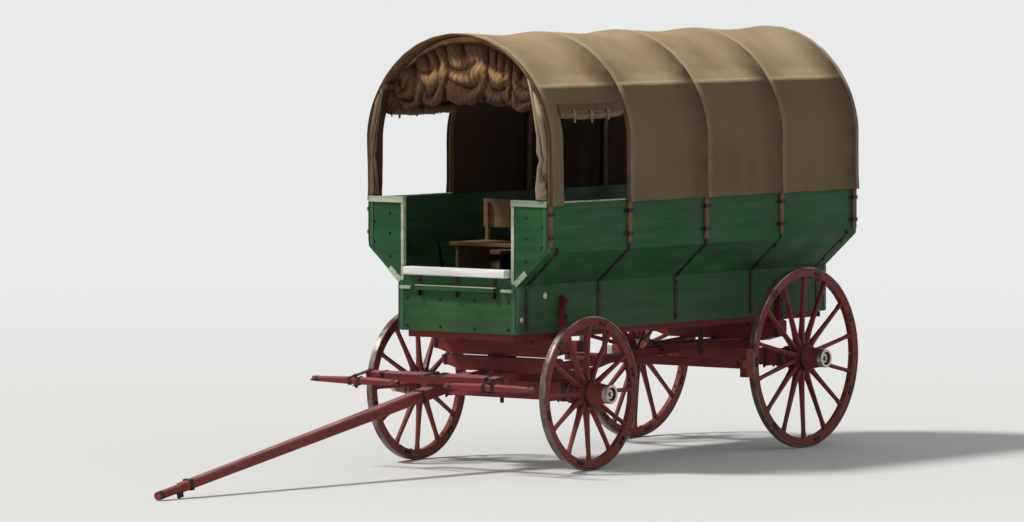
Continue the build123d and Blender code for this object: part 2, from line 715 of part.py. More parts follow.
# All pieces by name
keep("box_floor", box_floor())
keep("sills", sills())
keep("left_lower_side", lower_side())
keep("right_lower_side", across(lower_side()))
keep("left_flare_board", flare_board())
keep("right_flare_board", across(flare_board()))
keep("left_upper_side", upper_side())
keep("right_upper_side", across(upper_side()))
keep("front_end_panels", end_panels(0))
keep("rear_end_panels", end_panels(BOX_LENGTH - BOARD))
keep("front_board", front_board())
keep("dash_rail", dash_rail())
keep("tailgate", tailgate())
keep("tailgate_rod", tailgate_rod())
keep("left_bench", bench())
keep("right_bench", across(bench()))
keep("driver_seat", driver_seat())
for number in range(BOW_COUNT):
    keep("bow_" + str(number + 1), bow(number))
keep("stringers", stringers())
keep("cover_roof", cover_roof())
keep("cover_left_eave", cover_eave())
keep("cover_right_eave", across(cover_eave()))
keep("cover_left_side", cover_side())
keep("cover_right_side", across(cover_side()))
keep("front_flap", rolled_flap(bow_centre(0) + BOW_WIDTH / 2 + 2))
keep("rear_flap", rolled_flap(bow_centre(BOW_COUNT - 1) - BOW_WIDTH / 2 - 2 - FLAP_DEPTH))
keep("front_bolster", front_bolster())
keep("rear_bolster", bolster(REAR_AXLE_Y, rear_axle_top + REACH_HEIGHT))
keep("kingbolt", kingbolt())
keep("reach", reach())
keep("rear_hounds", rear_hounds())
keep("rear_axle", axle_beam(REAR_AXLE_Y, rear_axle_z - AXLE_BEAM_HEIGHT / 2 - 5, rear_axle_top))
keep("rear_wheel_arms", wheel_arms(REAR_AXLE_Y, rear_axle_z))
keep("brake_beam", brake_beam())
keep("brake_lever", brake_lever())
keep("front_axle", front_axle())
keep("front_wheel_arms", wheel_arms(FRONT_AXLE_Y, front_axle_z))
keep("sand_board", sand_board())
keep("front_hounds", front_hounds())
keep("tongue_pin", tongue_pin())
keep("tongue", let_down(tongue()))
keep("hammer_pin", let_down(hammer_pin()))
keep("doubletree", let_down(doubletree()))
keep("left_singletree", let_down(singletree(1)))
keep("right_singletree", let_down(singletree(-1)))

wheel_table = [
    # name, diameter, spokes, axle y
    ("front", FRONT_WHEEL_DIAMETER, FRONT_SPOKES, FRONT_AXLE_Y),
    ("rear", REAR_WHEEL_DIAMETER, REAR_SPOKES, REAR_AXLE_Y),
]
for name, diameter, spoke_count, axle_y in wheel_table:
    wood = Pos(0, axle_y, diameter / 2) * wheel_wood(diameter, spoke_count)
    tyre = Pos(0, axle_y, diameter / 2) * wheel_tyre(diameter)
    keep(name + "_left_wheel", wood)
    keep(name + "_right_wheel", across(wood))
    keep(name + "_left_tyre", tyre)
    keep(name + "_right_tyre", across(tyre))

os.makedirs("parts", exist_ok=True)
for name, shape in nodes.items():
    export_step(shape, "parts/" + name + ".step")

# Places that the joints and fittings need, from the origin
places = [
    ("kingbolt", (0, FRONT_AXLE_Y - middle, front_axle_z)),
    ("front wheel", (TRACK / 2, FRONT_AXLE_Y - middle, front_axle_z)),
    ("rear wheel", (TRACK / 2, REAR_AXLE_Y - middle, rear_axle_z)),
    ("tongue pivot", (0, TONGUE_PIVOT_Y - middle, tongue_pivot_z)),
    ("tongue slope", (tongue_slope, 0, 0)),
    ("middle", (0, middle, 0)),
]
for name, place in places:
    print(name, [round(value, 3) for value in place])
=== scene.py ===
import json
import math
import random

import bmesh
import bpy
from mathutils import Matrix, Vector, noise

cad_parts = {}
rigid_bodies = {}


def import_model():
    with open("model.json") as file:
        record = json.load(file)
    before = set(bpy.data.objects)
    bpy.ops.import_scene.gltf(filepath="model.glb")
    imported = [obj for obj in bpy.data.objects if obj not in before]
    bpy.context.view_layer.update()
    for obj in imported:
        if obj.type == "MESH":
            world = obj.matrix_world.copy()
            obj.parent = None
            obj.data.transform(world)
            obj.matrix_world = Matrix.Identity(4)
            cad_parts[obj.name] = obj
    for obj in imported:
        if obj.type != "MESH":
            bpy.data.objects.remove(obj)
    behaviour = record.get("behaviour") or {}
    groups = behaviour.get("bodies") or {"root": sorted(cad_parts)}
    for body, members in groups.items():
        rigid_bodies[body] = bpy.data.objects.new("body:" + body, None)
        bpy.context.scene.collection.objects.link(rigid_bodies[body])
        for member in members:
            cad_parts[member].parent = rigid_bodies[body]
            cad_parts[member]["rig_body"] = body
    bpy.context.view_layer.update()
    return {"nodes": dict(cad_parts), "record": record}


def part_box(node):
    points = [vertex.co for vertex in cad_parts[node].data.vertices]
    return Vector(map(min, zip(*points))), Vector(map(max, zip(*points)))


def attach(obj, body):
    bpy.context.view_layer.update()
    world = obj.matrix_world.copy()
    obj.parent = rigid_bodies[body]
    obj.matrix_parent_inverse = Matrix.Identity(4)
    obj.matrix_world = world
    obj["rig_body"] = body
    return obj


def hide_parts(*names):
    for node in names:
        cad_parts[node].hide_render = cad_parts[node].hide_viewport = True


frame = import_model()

# Covered wagon: green painted boards, crimson running gear on spoked wheels, and a tan
# canvas cover. All sizes are metres. The wagon looks towards -Y and its left side is +X.
scene = bpy.context.scene
carpenter = random.Random(11)
slot_of = {row["node"]: row["material_slot"] for row in frame["record"]["subparts"]}

# Sizes of the box and the cover, from the frame
lower_low, lower_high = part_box("left_lower_side")
upper_low, upper_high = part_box("left_upper_side")
BOX_FRONT = lower_low.y
BOX_LENGTH = lower_high.y - lower_low.y
HALF_LOWER = lower_high.x
HALF_UPPER = upper_high.x
LOWER_TOP = lower_high.z
FLARE_TOP = upper_low.z
UPPER_TOP = upper_high.z
cover_low, cover_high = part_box("cover_left_side")
COVER_HALF = cover_high.x
COVER_HEM = cover_low.z
COVER_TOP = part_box("cover_roof")[1].z
COVER_FRONT = cover_low.y - BOX_FRONT
COVER_REAR = cover_high.y - BOX_FRONT

# Sizes repeated from the wagon's drawing
COVER_SPRING = 2.26
COVER_SHOULDER_RADIUS = 0.60
BATTEN_LEAN = math.radians(34)
WINDOW_FRONT = 0.165
WINDOW_REAR = 0.885
WINDOW_TOP = 2.505
FRONT_AXLE = 0.50
REAR_AXLE = 3.05
FRONT_HUB_Z = 0.535
REAR_HUB_Z = 0.650
BEAM_HALF_HEIGHT = 0.060
BEAM_HALF_DEPTH = 0.050
SILL_UNDERSIDE = 0.905
TONGUE_PIVOT = (0.08, 0.625)
TONGUE_SLOPE = math.radians(10.405)
SINGLETREE_X = 0.590
SINGLETREE_Y = -0.465
TRACK_HALF = 0.762
HUB_INNER = 0.605
HUB_OUTER = 0.962
SPOKE_ROOT_X = 0.736
ARM_END = 0.924
TYRE_WIDTH = 0.048
TYRE_THICKNESS = 0.012
FELLOE_DEPTH = 0.058
FELLOE_WIDTH = 0.045

# Fittings stand this far off the wood they lie on
GAP = 0.0003


def behind(distance):
    """The place along Y that is this far behind the box's front."""
    return BOX_FRONT + distance


def middle_of(node):
    low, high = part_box(node)
    return (low + high) / 2


BOWS = [middle_of("bow_" + str(number)).y - BOX_FRONT for number in range(1, 6)]
BAY = BOWS[1] - BOWS[0]


# The cover's section: girths run along it from the crown, down to the hem
CROWN_RADIUS = (
    ((COVER_HALF - COVER_SHOULDER_RADIUS) ** 2 + (COVER_TOP - COVER_SPRING) ** 2 - COVER_SHOULDER_RADIUS ** 2)
    / (2 * (COVER_TOP - COVER_SPRING - COVER_SHOULDER_RADIUS)))
SHOULDER_TURN = math.atan2(
    CROWN_RADIUS - (COVER_TOP - COVER_SPRING), COVER_HALF - COVER_SHOULDER_RADIUS)
CROWN_GIRTH = CROWN_RADIUS * (math.pi / 2 - SHOULDER_TURN)
SPRING_GIRTH = CROWN_GIRTH + COVER_SHOULDER_RADIUS * SHOULDER_TURN
HEM_GIRTH = SPRING_GIRTH + COVER_SPRING - COVER_HEM
CREASE_GIRTH = CROWN_RADIUS * (math.pi / 2 - BATTEN_LEAN)
WINDOW_GIRTH = CROWN_RADIUS * math.acos((WINDOW_TOP - COVER_TOP + CROWN_RADIUS) / CROWN_RADIUS)

# Materials
ROAD_DUST = "#9A8468"
PAINT_GLOSS = 0.22
CLOTH_GLOSS = 0.08
# How deep the relief of wood fibres, rusty iron and woven cloth goes
FIBRE_DEPTH = 0.0007
RUST_DEPTH = 0.0006
WEAVE_DEPTH = 0.0008


def srgb(code):
    """The linear colour of an sRGB hex value."""
    parts = [int(code[place:place + 2], 16) / 255 for place in (1, 3, 5)]
    linear = [part / 12.92 if part <= 0.04045 else ((part + 0.055) / 1.055) ** 2.4 for part in parts]
    return (*linear, 1.0)


def add(tree, kind, inputs=None, output=0, **options):
    """Adds a node and returns its output; an input that is given a socket is linked, another is set.

    A Mix of colours has its share at input 0, its colours at 6 and 7, and its result at output 2.
    """
    node = tree.nodes.new("ShaderNode" + kind)
    for name, value in options.items():
        setattr(node, name, value)
    for name, value in (inputs or {}).items():
        if isinstance(value, bpy.types.NodeSocket):
            tree.links.new(value, node.inputs[name])
        else:
            node.inputs[name].default_value = value
    return node.outputs[output]


def start_material(name, gloss=0.5):
    """A new material with its shader; old paint and cloth take less gloss than the usual 0.5."""
    material = bpy.data.materials.new(name)
    material.use_nodes = True
    shader = material.node_tree.nodes["Principled BSDF"]
    shader.inputs["Specular IOR Level"].default_value = gloss
    return material, material.node_tree, shader


def connect(tree, shader, colour, height, depth, roughness=None, metallic=None):
    """Links the finished colour and relief to the shader, and roughness and metal where they vary."""
    for name, socket in (("Base Color", colour), ("Roughness", roughness), ("Metallic", metallic)):
        if socket is not None:
            tree.links.new(socket, shader.inputs[name])
    bump = add(tree, "Bump", {"Height": height, "Strength": 1.0, "Distance": depth})
    tree.links.new(bump, shader.inputs["Normal"])


def weathered_wood(name, paint, sunned, bare, roughness, worn=0.5, dusty=0.35, chalk_and_highlight=None):
    """Timber under old paint, or bare: fibres along the grain, faded patches, rubbed edges, dust."""
    material, tree, shader = start_material(name, PAINT_GLOSS)
    grain = add(tree, "Attribute", output="Vector", attribute_name="grain")
    rubbed = add(tree, "Attribute", output="Fac", attribute_name="wear")
    # Fibres 4 mm wide and 200 mm long, streaks ten times as wide, patches 400 mm and chips 20 mm across
    stretched = add(tree, "Mapping", {"Vector": grain, "Scale": (5.0, 240.0, 240.0)})
    fibres = add(tree, "TexNoise", {"Vector": stretched, "Scale": 1.0, "Detail": 4.0})
    broad = add(tree, "Mapping", {"Vector": grain, "Scale": (1.6, 22.0, 22.0)})
    streaks = add(tree, "TexNoise", {"Vector": broad, "Scale": 1.0, "Detail": 3.0})
    patches = add(tree, "TexNoise", {"Vector": grain, "Scale": 2.6, "Detail": 4.0})
    chips = add(tree, "TexNoise", {"Vector": grain, "Scale": 55.0, "Detail": 5.0})

    faded = add(tree, "MapRange", {"Value": patches, "From Min": 0.4, "From Max": 0.68})
    colour = add(tree, "Mix", {0: faded, 6: srgb(paint), 7: srgb(sunned)}, 2, data_type="RGBA")
    grime = add(tree, "MapRange", {
        "Value": streaks, "From Min": 0.35, "From Max": 0.7, "To Min": 0.72, "To Max": 1.12})
    colour = add(tree, "Mix", {0: 1.0, 6: colour, 7: grime}, 2, data_type="RGBA", blend_type="MULTIPLY")
    coats = []
    # Upward faces turn pale: partly chalked paint, partly a painted highlight of light from above
    if chalk_and_highlight:
        normal = add(tree, "TexCoord", output="Normal")
        up = add(tree, "SeparateXYZ", {0: normal}, "Z")
        level = add(tree, "MapRange", {"Value": up, "From Min": 0.55, "From Max": 0.95})
        spotty = add(tree, "MapRange", {
            "Value": streaks, "From Min": 0.3, "From Max": 0.6, "To Min": 0.08, "To Max": 0.4})
        chalk_and_highlight_share = add(tree, "Math", {0: level, 1: spotty}, operation="MULTIPLY")
        coats.append((chalk_and_highlight_share, chalk_and_highlight))
    edge = add(tree, "Math", {0: rubbed, 1: chips}, operation="MULTIPLY")
    edge = add(tree, "MapRange", {
        "Value": edge, "From Min": 0.62 - 0.4 * worn, "From Max": 0.75 - 0.3 * worn})
    nicks = add(tree, "MapRange", {
        "Value": chips, "From Min": 0.74 - 0.05 * worn, "From Max": 0.78, "To Max": worn})
    laid_bare = add(tree, "Math", {0: edge, 1: nicks}, operation="MAXIMUM")
    place = add(tree, "TexCoord", output="Object")
    height = add(tree, "SeparateXYZ", {0: place}, "Z")
    settled = add(tree, "MapRange", {
        "Value": height, "From Min": 1.5, "From Max": 0.2, "To Min": 0.05, "To Max": dusty * 2})
    dust = add(tree, "Math", {0: settled, 1: patches}, operation="MULTIPLY")
    for share, coat in (*coats, (laid_bare, bare), (dust, ROAD_DUST)):
        colour = add(tree, "Mix", {0: share, 6: colour, 7: srgb(coat)}, 2, data_type="RGBA")

    dull = add(tree, "Math", {0: faded, 1: laid_bare}, operation="MAXIMUM")
    rough = add(tree, "MapRange", {"Value": dull, "To Min": roughness, "To Max": 0.8})
    hollow = add(tree, "Math", {0: laid_bare, 1: 0.35}, operation="MULTIPLY")
    relief = add(tree, "Math", {0: fibres, 1: hollow}, operation="SUBTRACT")
    connect(tree, shader, colour, relief, FIBRE_DEPTH, rough)
    return material


def forged_iron(name, clean, rust, rusty, roughness, bare=0.9):
    """Iron with rust that creeps over it in patches; rust and paint are dull and not metallic."""
    material, tree, shader = start_material(name)
    place = add(tree, "TexCoord", output="Object")
    # Clouds of rust 110 mm across, and grit 4 mm across, which is coarser than real so that it shows
    clouds = add(tree, "TexNoise", {"Vector": place, "Scale": 9.0, "Detail": 6.0})
    grit = add(tree, "TexNoise", {"Vector": place, "Scale": 260.0, "Detail": 3.0})
    patchy = add(tree, "Mix", {0: 0.3, 2: clouds, 3: grit})
    bloom = add(tree, "MapRange", {
        "Value": patchy, "From Min": 0.62 - 0.25 * rusty, "From Max": 0.72 - 0.2 * rusty})
    colour = add(tree, "Mix", {0: bloom, 6: srgb(clean), 7: srgb(rust)}, 2, data_type="RGBA")
    rough = add(tree, "MapRange", {"Value": bloom, "To Min": roughness, "To Max": 0.9})
    metal = add(tree, "MapRange", {"Value": bloom, "To Min": bare, "To Max": 0.1 * bare})
    connect(tree, shader, colour, grit, RUST_DEPTH, rough, metal)
    return material


def bow_marks(tree, girth, along, softly):
    """Painted light on the cover: a painted highlight just behind each bow and along the crease, and painted
    shade ahead of each bow, deepest towards the crease.
    """
    from_bow = add(tree, "Math", {0: along, 1: BOWS[0]}, operation="SUBTRACT")
    bays = add(tree, "Math", {0: from_bow, 1: BAY}, operation="DIVIDE")
    in_bay = add(tree, "Math", {0: bays}, operation="FRACT")
    down = add(tree, "Math", {0: girth}, operation="ABSOLUTE")
    # Painted highlight just behind each bow, over the roof and fading out down the wall
    behind_bow_highlight = add(tree, "MapRange", {"Value": in_bay, "From Min": 0.075, "From Max": 0.02, "To Max": 0.8})
    roof = add(tree, "MapRange", {
        "Value": down, "From Min": CREASE_GIRTH + 0.13, "From Max": CREASE_GIRTH, "To Min": 0.14})
    behind_bow_highlight = add(tree, "Math", {0: behind_bow_highlight, 1: roof}, operation="MULTIPLY")
    # Painted highlight in a thin line along the crease
    from_crease = add(tree, "Math", {0: down, 1: CREASE_GIRTH - 0.004}, operation="SUBTRACT")
    from_crease = add(tree, "Math", {0: from_crease}, operation="ABSOLUTE")
    rubbed = add(tree, "MapRange", {
        "Value": from_crease, "From Min": 0.020, "From Max": 0.007, "To Max": 0.9})
    painted_highlight = add(tree, "Math", {0: behind_bow_highlight, 1: rubbed}, operation="MAXIMUM")
    painted_highlight = add(tree, "Math", {0: painted_highlight, 1: softly}, operation="MULTIPLY")
    # Painted shade ahead of each bow, deepest towards the crease
    painted_shade = add(tree, "MapRange", {"Value": in_bay, "From Min": 0.70, "From Max": 0.97})
    shade_toward_crease = add(tree, "MapRange", {
        "Value": down, "From Min": CREASE_GIRTH - 0.60, "From Max": CREASE_GIRTH - 0.08, "To Min": 0.2})
    painted_shade = add(tree, "Math", {0: painted_shade, 1: shade_toward_crease}, operation="MULTIPLY")
    painted_shade = add(tree, "Math", {0: painted_shade, 1: softly}, operation="MULTIPLY")
    return painted_highlight, painted_shade, down


def canvas(name, cloth, bleach_and_highlight, soil_and_shade, wall=None):
    """Cotton duck with painted light and shade: one with a wall colour gets painted shade on its walls and
    painted highlights and shade by the bows, any other gets painted highlights and shade by its own folds.
    """
    material, tree, shader = start_material(name, CLOTH_GLOSS)
    flat = add(tree, "Attribute", output="Vector", attribute_name="cloth")
    girth, along = [add(tree, "SeparateXYZ", {0: flat}, axis) for axis in "XY"]
    # Clouds 600 mm and blotches 140 mm across, and slubs in the thread 70 mm long and 8 mm wide
    clouds = add(tree, "TexNoise", {"Vector": flat, "Scale": 1.7, "Detail": 5.0})
    blotches = add(tree, "TexNoise", {"Vector": flat, "Scale": 7.0, "Detail": 6.0})
    slubs_run = add(tree, "Mapping", {"Vector": flat, "Scale": (14.0, 130.0, 1.0)})
    slubs = add(tree, "TexNoise", {"Vector": slubs_run, "Scale": 1.0, "Detail": 2.0})
    # Warp and weft as waves 5 mm apart, coarser than real threads so that they show
    warp = add(tree, "TexWave", {"Vector": flat, "Scale": 62.8, "Distortion": 0.6}, 1, bands_direction="X")
    weft = add(tree, "TexWave", {"Vector": flat, "Scale": 62.8, "Distortion": 0.6}, 1, bands_direction="Y")
    weave = add(tree, "Mix", {0: 0.5, 2: warp, 3: weft})

    patchy = 0.6 if wall else 0.15
    mottled = add(tree, "MapRange", {"Value": clouds, "From Min": 0.35, "From Max": 0.7, "To Max": patchy})
    colour = add(tree, "Mix", {0: mottled, 6: srgb(cloth), 7: srgb(bleach_and_highlight)}, 2, data_type="RGBA")
    softly = add(tree, "MapRange", {"Value": blotches, "From Min": 0.3, "From Max": 0.6, "To Min": 0.55})
    if wall:
        painted_highlight, painted_shade, down = bow_marks(tree, girth, along, softly)
        # Below the crease the wall colour stands in as painted shade
        wall_shade = add(tree, "MapRange", {
            "Value": down, "From Min": CREASE_GIRTH + 0.004, "From Max": CREASE_GIRTH + 0.022, "To Max": 0.9})
        colour = add(tree, "Mix", {0: wall_shade, 6: colour, 7: srgb(wall)}, 2, data_type="RGBA")
    else:
        # The piece's painted-light level gives painted highlights on crests and painted shade in valleys
        painted_light_level = add(tree, "Attribute", output="Fac", attribute_name="painted_light_level")
        painted_highlight = add(tree, "MapRange", {"Value": painted_light_level, "From Min": 0.62, "From Max": 0.95})
        painted_highlight = add(tree, "Math", {0: painted_highlight, 1: softly}, operation="MULTIPLY")
        painted_shade = add(tree, "MapRange", {"Value": painted_light_level, "From Min": 0.45, "From Max": 0.05})
    stain = add(tree, "MapRange", {"Value": clouds, "From Min": 0.42, "From Max": 0.25, "To Max": 0.3})
    for share, mark in ((painted_highlight, bleach_and_highlight), (painted_shade, soil_and_shade), (stain, soil_and_shade)):
        colour = add(tree, "Mix", {0: share, 6: colour, 7: srgb(mark)}, 2, data_type="RGBA")
    thread = add(tree, "MapRange", {"Value": slubs, "To Min": 0.88, "To Max": 1.1})
    colour = add(tree, "Mix", {0: 1.0, 6: colour, 7: thread}, 2, data_type="RGBA", blend_type="MULTIPLY")
    relief = add(tree, "Mix", {0: 0.4, 2: weave, 3: slubs})
    connect(tree, shader, colour, relief, WEAVE_DEPTH)
    shader.inputs["Roughness"].default_value = 0.88
    shader.inputs["Sheen Weight"].default_value = 0.05
    shader.inputs["Sheen Roughness"].default_value = 0.6
    return material


# Oil paint brushed on pine boards: deep green, a little gloss left, grey wood at rubbed edges
green_paint = weathered_wood("green_oil_paint_on_pine", "#0F4822", "#19592D", "#8C8468", 0.48, 0.55, 0.12)
# Paler green on the box's caps, edges and ledge top: partly paint worn by hands and rain, partly a painted
# highlight where light falls on those tops and edges
pale_green_worn_and_lit = weathered_wood("faded_and_lit_green_paint", "#95A78A", "#BDC5AB", "#A59B80", 0.6, 0.6, 0.1)
# Wagon red on oak and hickory: crimson, dusty pink on its upward faces, partly chalked paint and partly a
# painted highlight where the sun falls
crimson_paint = weathered_wood(
    "crimson_wagon_paint_on_oak", "#700E1B", "#861D2A", "#A98A70", 0.45, 0.5, 0.12, chalk_and_highlight="#C09894")
# The same red on the wheels, without the pale tops of chalk and painted highlight, because the wheels turn
wheel_paint = weathered_wood(
    "crimson_wagon_paint_on_wheels", "#6E0F1C", "#821D29", "#A98A70", 0.36, 0.5, 0.16)
# Steam-bent ash, oiled: straw brown with a fine straight grain
bent_ash = weathered_wood("oiled_bent_ash", "#614630", "#7A5B3E", "#94765A", 0.5, 0.4, 0.1)
# Bare pine seat boards, polished by use and grey in the low places
seat_pine = weathered_wood("bare_pine_boards", "#6F5236", "#8C6E4C", "#A98F6C", 0.55, 0.5, 0.15)
# Whitewash on a board: off-white, chalky, grey wood where it has rubbed through
white_paint = weathered_wood("whitewashed_board", "#EEEDE8", "#F6F5F1", "#B9B1A0", 0.6, 0.25, 0.02)
# Blacksmith's iron, blackened in oil: nearly black, dull, with rust in the pits
black_iron = forged_iron("oil_blackened_iron", "#33302D", "#4A2A1A", 0.45, 0.5)
# Tyre iron rubbed by the road: grey metal with brown rust
tyre_iron = forged_iron("road_worn_tyre_iron", "#7A726A", "#5B3A25", 0.6, 0.38)
# Bare steel kept bright by grease and handling, as on hub bands and nuts
bright_steel = forged_iron("greased_bright_steel", "#B9B4AC", "#6B4A33", 0.15, 0.28)
# Tan waxed cotton duck, with a darker brown on its walls as painted shade; and its inside, browner still, a
# copy of the same duck darkened as painted shade
tan_canvas = canvas("waxed_tan_cotton_duck", "#AA9167", "#CFBD95", "#544031", "#655440")
shaded_inside_canvas = canvas("shaded_inside_of_waxed_duck", "#5E4230", "#7A5940", "#35241A", "#4C382A")
# The same duck in the gathered curtains, a dark brown copy as painted shade under the arch, with painted
# shade in its folds and a golden painted highlight on their crests
gathered_canvas = canvas("gathered_russet_duck", "#4E3325", "#BD9762", "#1A0E0A")
# Duck rolled up over the windows, and on two of the drapes: a plain brown copy of the duck, darkened as
# painted shade
shaded_canvas = canvas("shaded_waxed_duck", "#6C5740", "#8E7A5C", "#3A2C20")
# Flat cotton webbing, pale buff and close woven; it carries no painted-light level, so the painted-shade
# brown covers all of it
webbing = canvas("cotton_webbing", "#A8977A", "#C2B28E", "#7C6A50")
# Canvas of the drapes at the cover's ends: a paler copy of the duck, as a painted highlight where the sun
# falls
sunlit_canvas = canvas("sunlit_cotton_duck", "#83705A", "#BFAC8C", "#3B2C20")
# Thin iron edging under the same green as the boards
green_iron = forged_iron("green_painted_edge_iron", "#165028", "#4A3A26", 0.2, 0.45, 0.0)


# Making pieces
def new_solid():
    """An empty bmesh with the two marks that the wood materials read."""
    bm = bmesh.new()
    bm.verts.layers.float.new("wear")
    bm.verts.layers.float_vector.new("grain")
    return bm


def made_since(bm, before):
    """The vertices that are not among those kept with set(bm.verts) before."""
    return [vert for vert in bm.verts if vert not in before]


def edges_of(verts):
    return list({edge for vert in verts for edge in vert.link_edges})


def faces_of(verts):
    return list({face for vert in verts for face in vert.link_faces})


def verts_in(geometry):
    return [part for part in geometry if isinstance(part, bmesh.types.BMVert)]


def faces_in(geometry):
    return [part for part in geometry if isinstance(part, bmesh.types.BMFace)]


def lay_grain(bm, axes):
    """Marks each vertex with its place along and across the grain, from a random start."""
    grain = bm.verts.layers.float_vector["grain"]
    start = Vector([carpenter.uniform(0, 9) for _ in range(3)])
    for vert in bm.verts:
        vert[grain] = start + Vector([vert.co[axis] for axis in axes])


def round_edges(bm, edges, width, slide=False):
    """Rounds edges over with two facets each; returns what that made."""
    return bmesh.ops.bevel(
        bm, geom=edges, offset=width, offset_type="OFFSET", affect="EDGES", segments=2,
        profile=0.5, material=-1, clamp_overlap=True, loop_slide=slide)


def ease(bm, width):
    """Rounds over the edges that turn by more than 28 degrees, and marks their crests as rubbed."""
    edges = [
        edge for edge in bm.edges
        if len(edge.link_faces) == 2 and edge.calc_face_angle(0.0) > math.radians(28)
    ]
    made = round_edges(bm, edges, width, slide=True)
    wear = bm.verts.layers.float["wear"]
    rounded = set(made["faces"])
    for vert in made["verts"]:
        if vert.is_valid and all(face in rounded for face in vert.link_faces):
            vert[wear] = 1.0


def mesh_from(name, bm):
    """Turns a finished bmesh into a mesh."""
    mesh = bpy.data.meshes.new(name)
    bm.to_mesh(mesh)
    bm.free()
    return mesh


def put_in_scene(name, data):
    """An object of a mesh, lamp or camera, in the scene and at the origin."""
    placed = bpy.data.objects.new(name, data)
    scene.collection.objects.link(placed)
    return placed


def finish_piece(name, bm, body, materials, replaces=(), sharp=40.0, weighted=True):
    """Turns a bmesh into a piece that rides on a body, smooth but for its sharp edges."""
    mesh = mesh_from(name, bm)
    for material in materials:
        mesh.materials.append(material)
    mesh.shade_smooth()
    mesh.set_sharp_from_angle(angle=math.radians(sharp))
    piece = put_in_scene(name, mesh)
    if weighted:
        piece.modifiers.new("flat faces stay flat", "WEIGHTED_NORMAL").keep_sharp = True
    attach(piece, body)
    if replaces:
        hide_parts(*replaces)
    return piece


def body_of_node(node):
    return frame["nodes"][node]["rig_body"]


def eased_copy(node, material, width):
    """A timber of the frame with its corners rounded over, in the timber's own place."""
    bm = bmesh.new()
    bm.from_mesh(frame["nodes"][node].data)
    bm.verts.layers.float.new("wear")
    bm.verts.layers.float_vector.new("grain")
    bmesh.ops.remove_doubles(bm, verts=bm.verts, dist=0.00002)
    bmesh.ops.dissolve_limit(
        bm, angle_limit=math.radians(1), use_dissolve_boundaries=False, verts=bm.verts, edges=bm.edges)
    ease(bm, width)
    low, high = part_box(node)
    size = high - low
    axes = sorted(range(3), key=lambda axis: -size[axis])
    lay_grain(bm, axes)
    finish_piece(node + "_timber", bm, body_of_node(node), [material], [node])


# Fittings that many pieces share
def ordered(corner, opposite):
    """The lowest and the highest corner of the box between two opposite corners."""
    pairs = list(zip(corner, opposite))
    return [min(pair) for pair in pairs], [max(pair) for pair in pairs]


def add_block(bm, corner, opposite, easing):
    """Adds a cuboid between two opposite corners, its edges eased."""
    low, high = [Vector(place) for place in ordered(corner, opposite)]
    cube = bmesh.ops.create_cube(bm, size=1.0)["verts"]
    bmesh.ops.scale(bm, vec=high - low, verts=cube)
    bmesh.ops.translate(bm, vec=(low + high) / 2, verts=cube)
    round_edges(bm, edges_of(cube), easing)


def add_strip(bm, path, width, thickness, out):
    """Adds a flat bar on a surface, along a path of points and as wide as the vector width."""
    before = set(bm.verts)
    width = Vector(width)
    line = [bm.verts.new(Vector(point) - width / 2) for point in path]
    edges = [bm.edges.new(pair) for pair in zip(line, line[1:])]
    drawn = bmesh.ops.extrude_edge_only(bm, edges=edges)["geom"]
    bmesh.ops.translate(bm, vec=width, verts=verts_in(drawn))
    faces = faces_in(drawn)
    bm.normal_update()
    # Thickness grows against the normals, so they have to look into the surface
    if sum(face.normal.dot(Vector(out)) for face in faces) > 0:
        bmesh.ops.reverse_faces(bm, faces=faces)
    bmesh.ops.solidify(bm, geom=faces, thickness=thickness)
    bmesh.ops.recalc_face_normals(bm, faces=faces_of(made_since(bm, before)))


def add_band(bm, corner, opposite, axis, thickness=0.004):
    """Adds an iron band round a square timber; the timber runs along the given axis."""
    low, high = ordered(corner, opposite)
    for side in {0, 1, 2} - {axis}:
        other = 3 - axis - side
        for face, out in ((low, -1), (high, 1)):
            plate_low, plate_high = Vector(low), Vector(high)
            plate_low[other] -= thickness
            plate_high[other] += thickness
            plate_low[side] = face[side] + out * GAP
            plate_high[side] = face[side] + out * thickness
            add_block(bm, plate_low, plate_high, 0.0012)


def add_cone(bm, sides, base, top, length, matrix):
    """Adds a solid cone from one radius to another, or a cylinder, along its own Z."""
    return bmesh.ops.create_cone(
        bm, cap_ends=True, segments=sides, radius1=base, radius2=top, depth=length, matrix=matrix)["verts"]


def add_ferrule(bm, sides, base, top, length, matrix):
    """Adds a round iron cap with its rims eased."""
    verts = add_cone(bm, sides, base, top, length, matrix)
    rims = [edge for edge in edges_of(verts) if edge.calc_face_angle(0.0) > 1]
    round_edges(bm, rims, 0.002)


def facing(place, out):
    """Takes what is made at the origin, looking along +Z, to a place where it looks out."""
    return Matrix.Translation(place) @ Vector(out).to_track_quat("Z", "Y").to_matrix().to_4x4()


def add_ring(bm, centre, axis, radius, thickness):
    """Adds a round eye or link about an axis."""
    before = set(bm.verts)
    upright = Matrix.Translation((radius, 0, 0)) @ Matrix.Rotation(math.pi / 2, 4, "X")
    circle = bmesh.ops.create_circle(bm, segments=8, radius=thickness, matrix=upright)["verts"]
    bmesh.ops.spin(
        bm, geom=circle + edges_of(circle), cent=(0, 0, 0), axis=(0, 0, 1), angle=2 * math.pi, steps=24,
        use_merge=True)
    ring = made_since(bm, before)
    bmesh.ops.recalc_face_normals(bm, faces=faces_of(ring))
    bmesh.ops.transform(bm, matrix=facing(centre, axis), verts=ring)


def add_bolt(bm, place, out, radius):
    """Adds a carriage bolt's low domed head on its washer, facing out."""
    matrix = facing(place, out)
    add_cone(bm, 14, radius * 1.55, radius * 1.5, 0.003, matrix)
    add_cone(bm, 12, radius, radius * 0.55, 0.006, matrix @ Matrix.Translation((0, 0, 0.0045)))


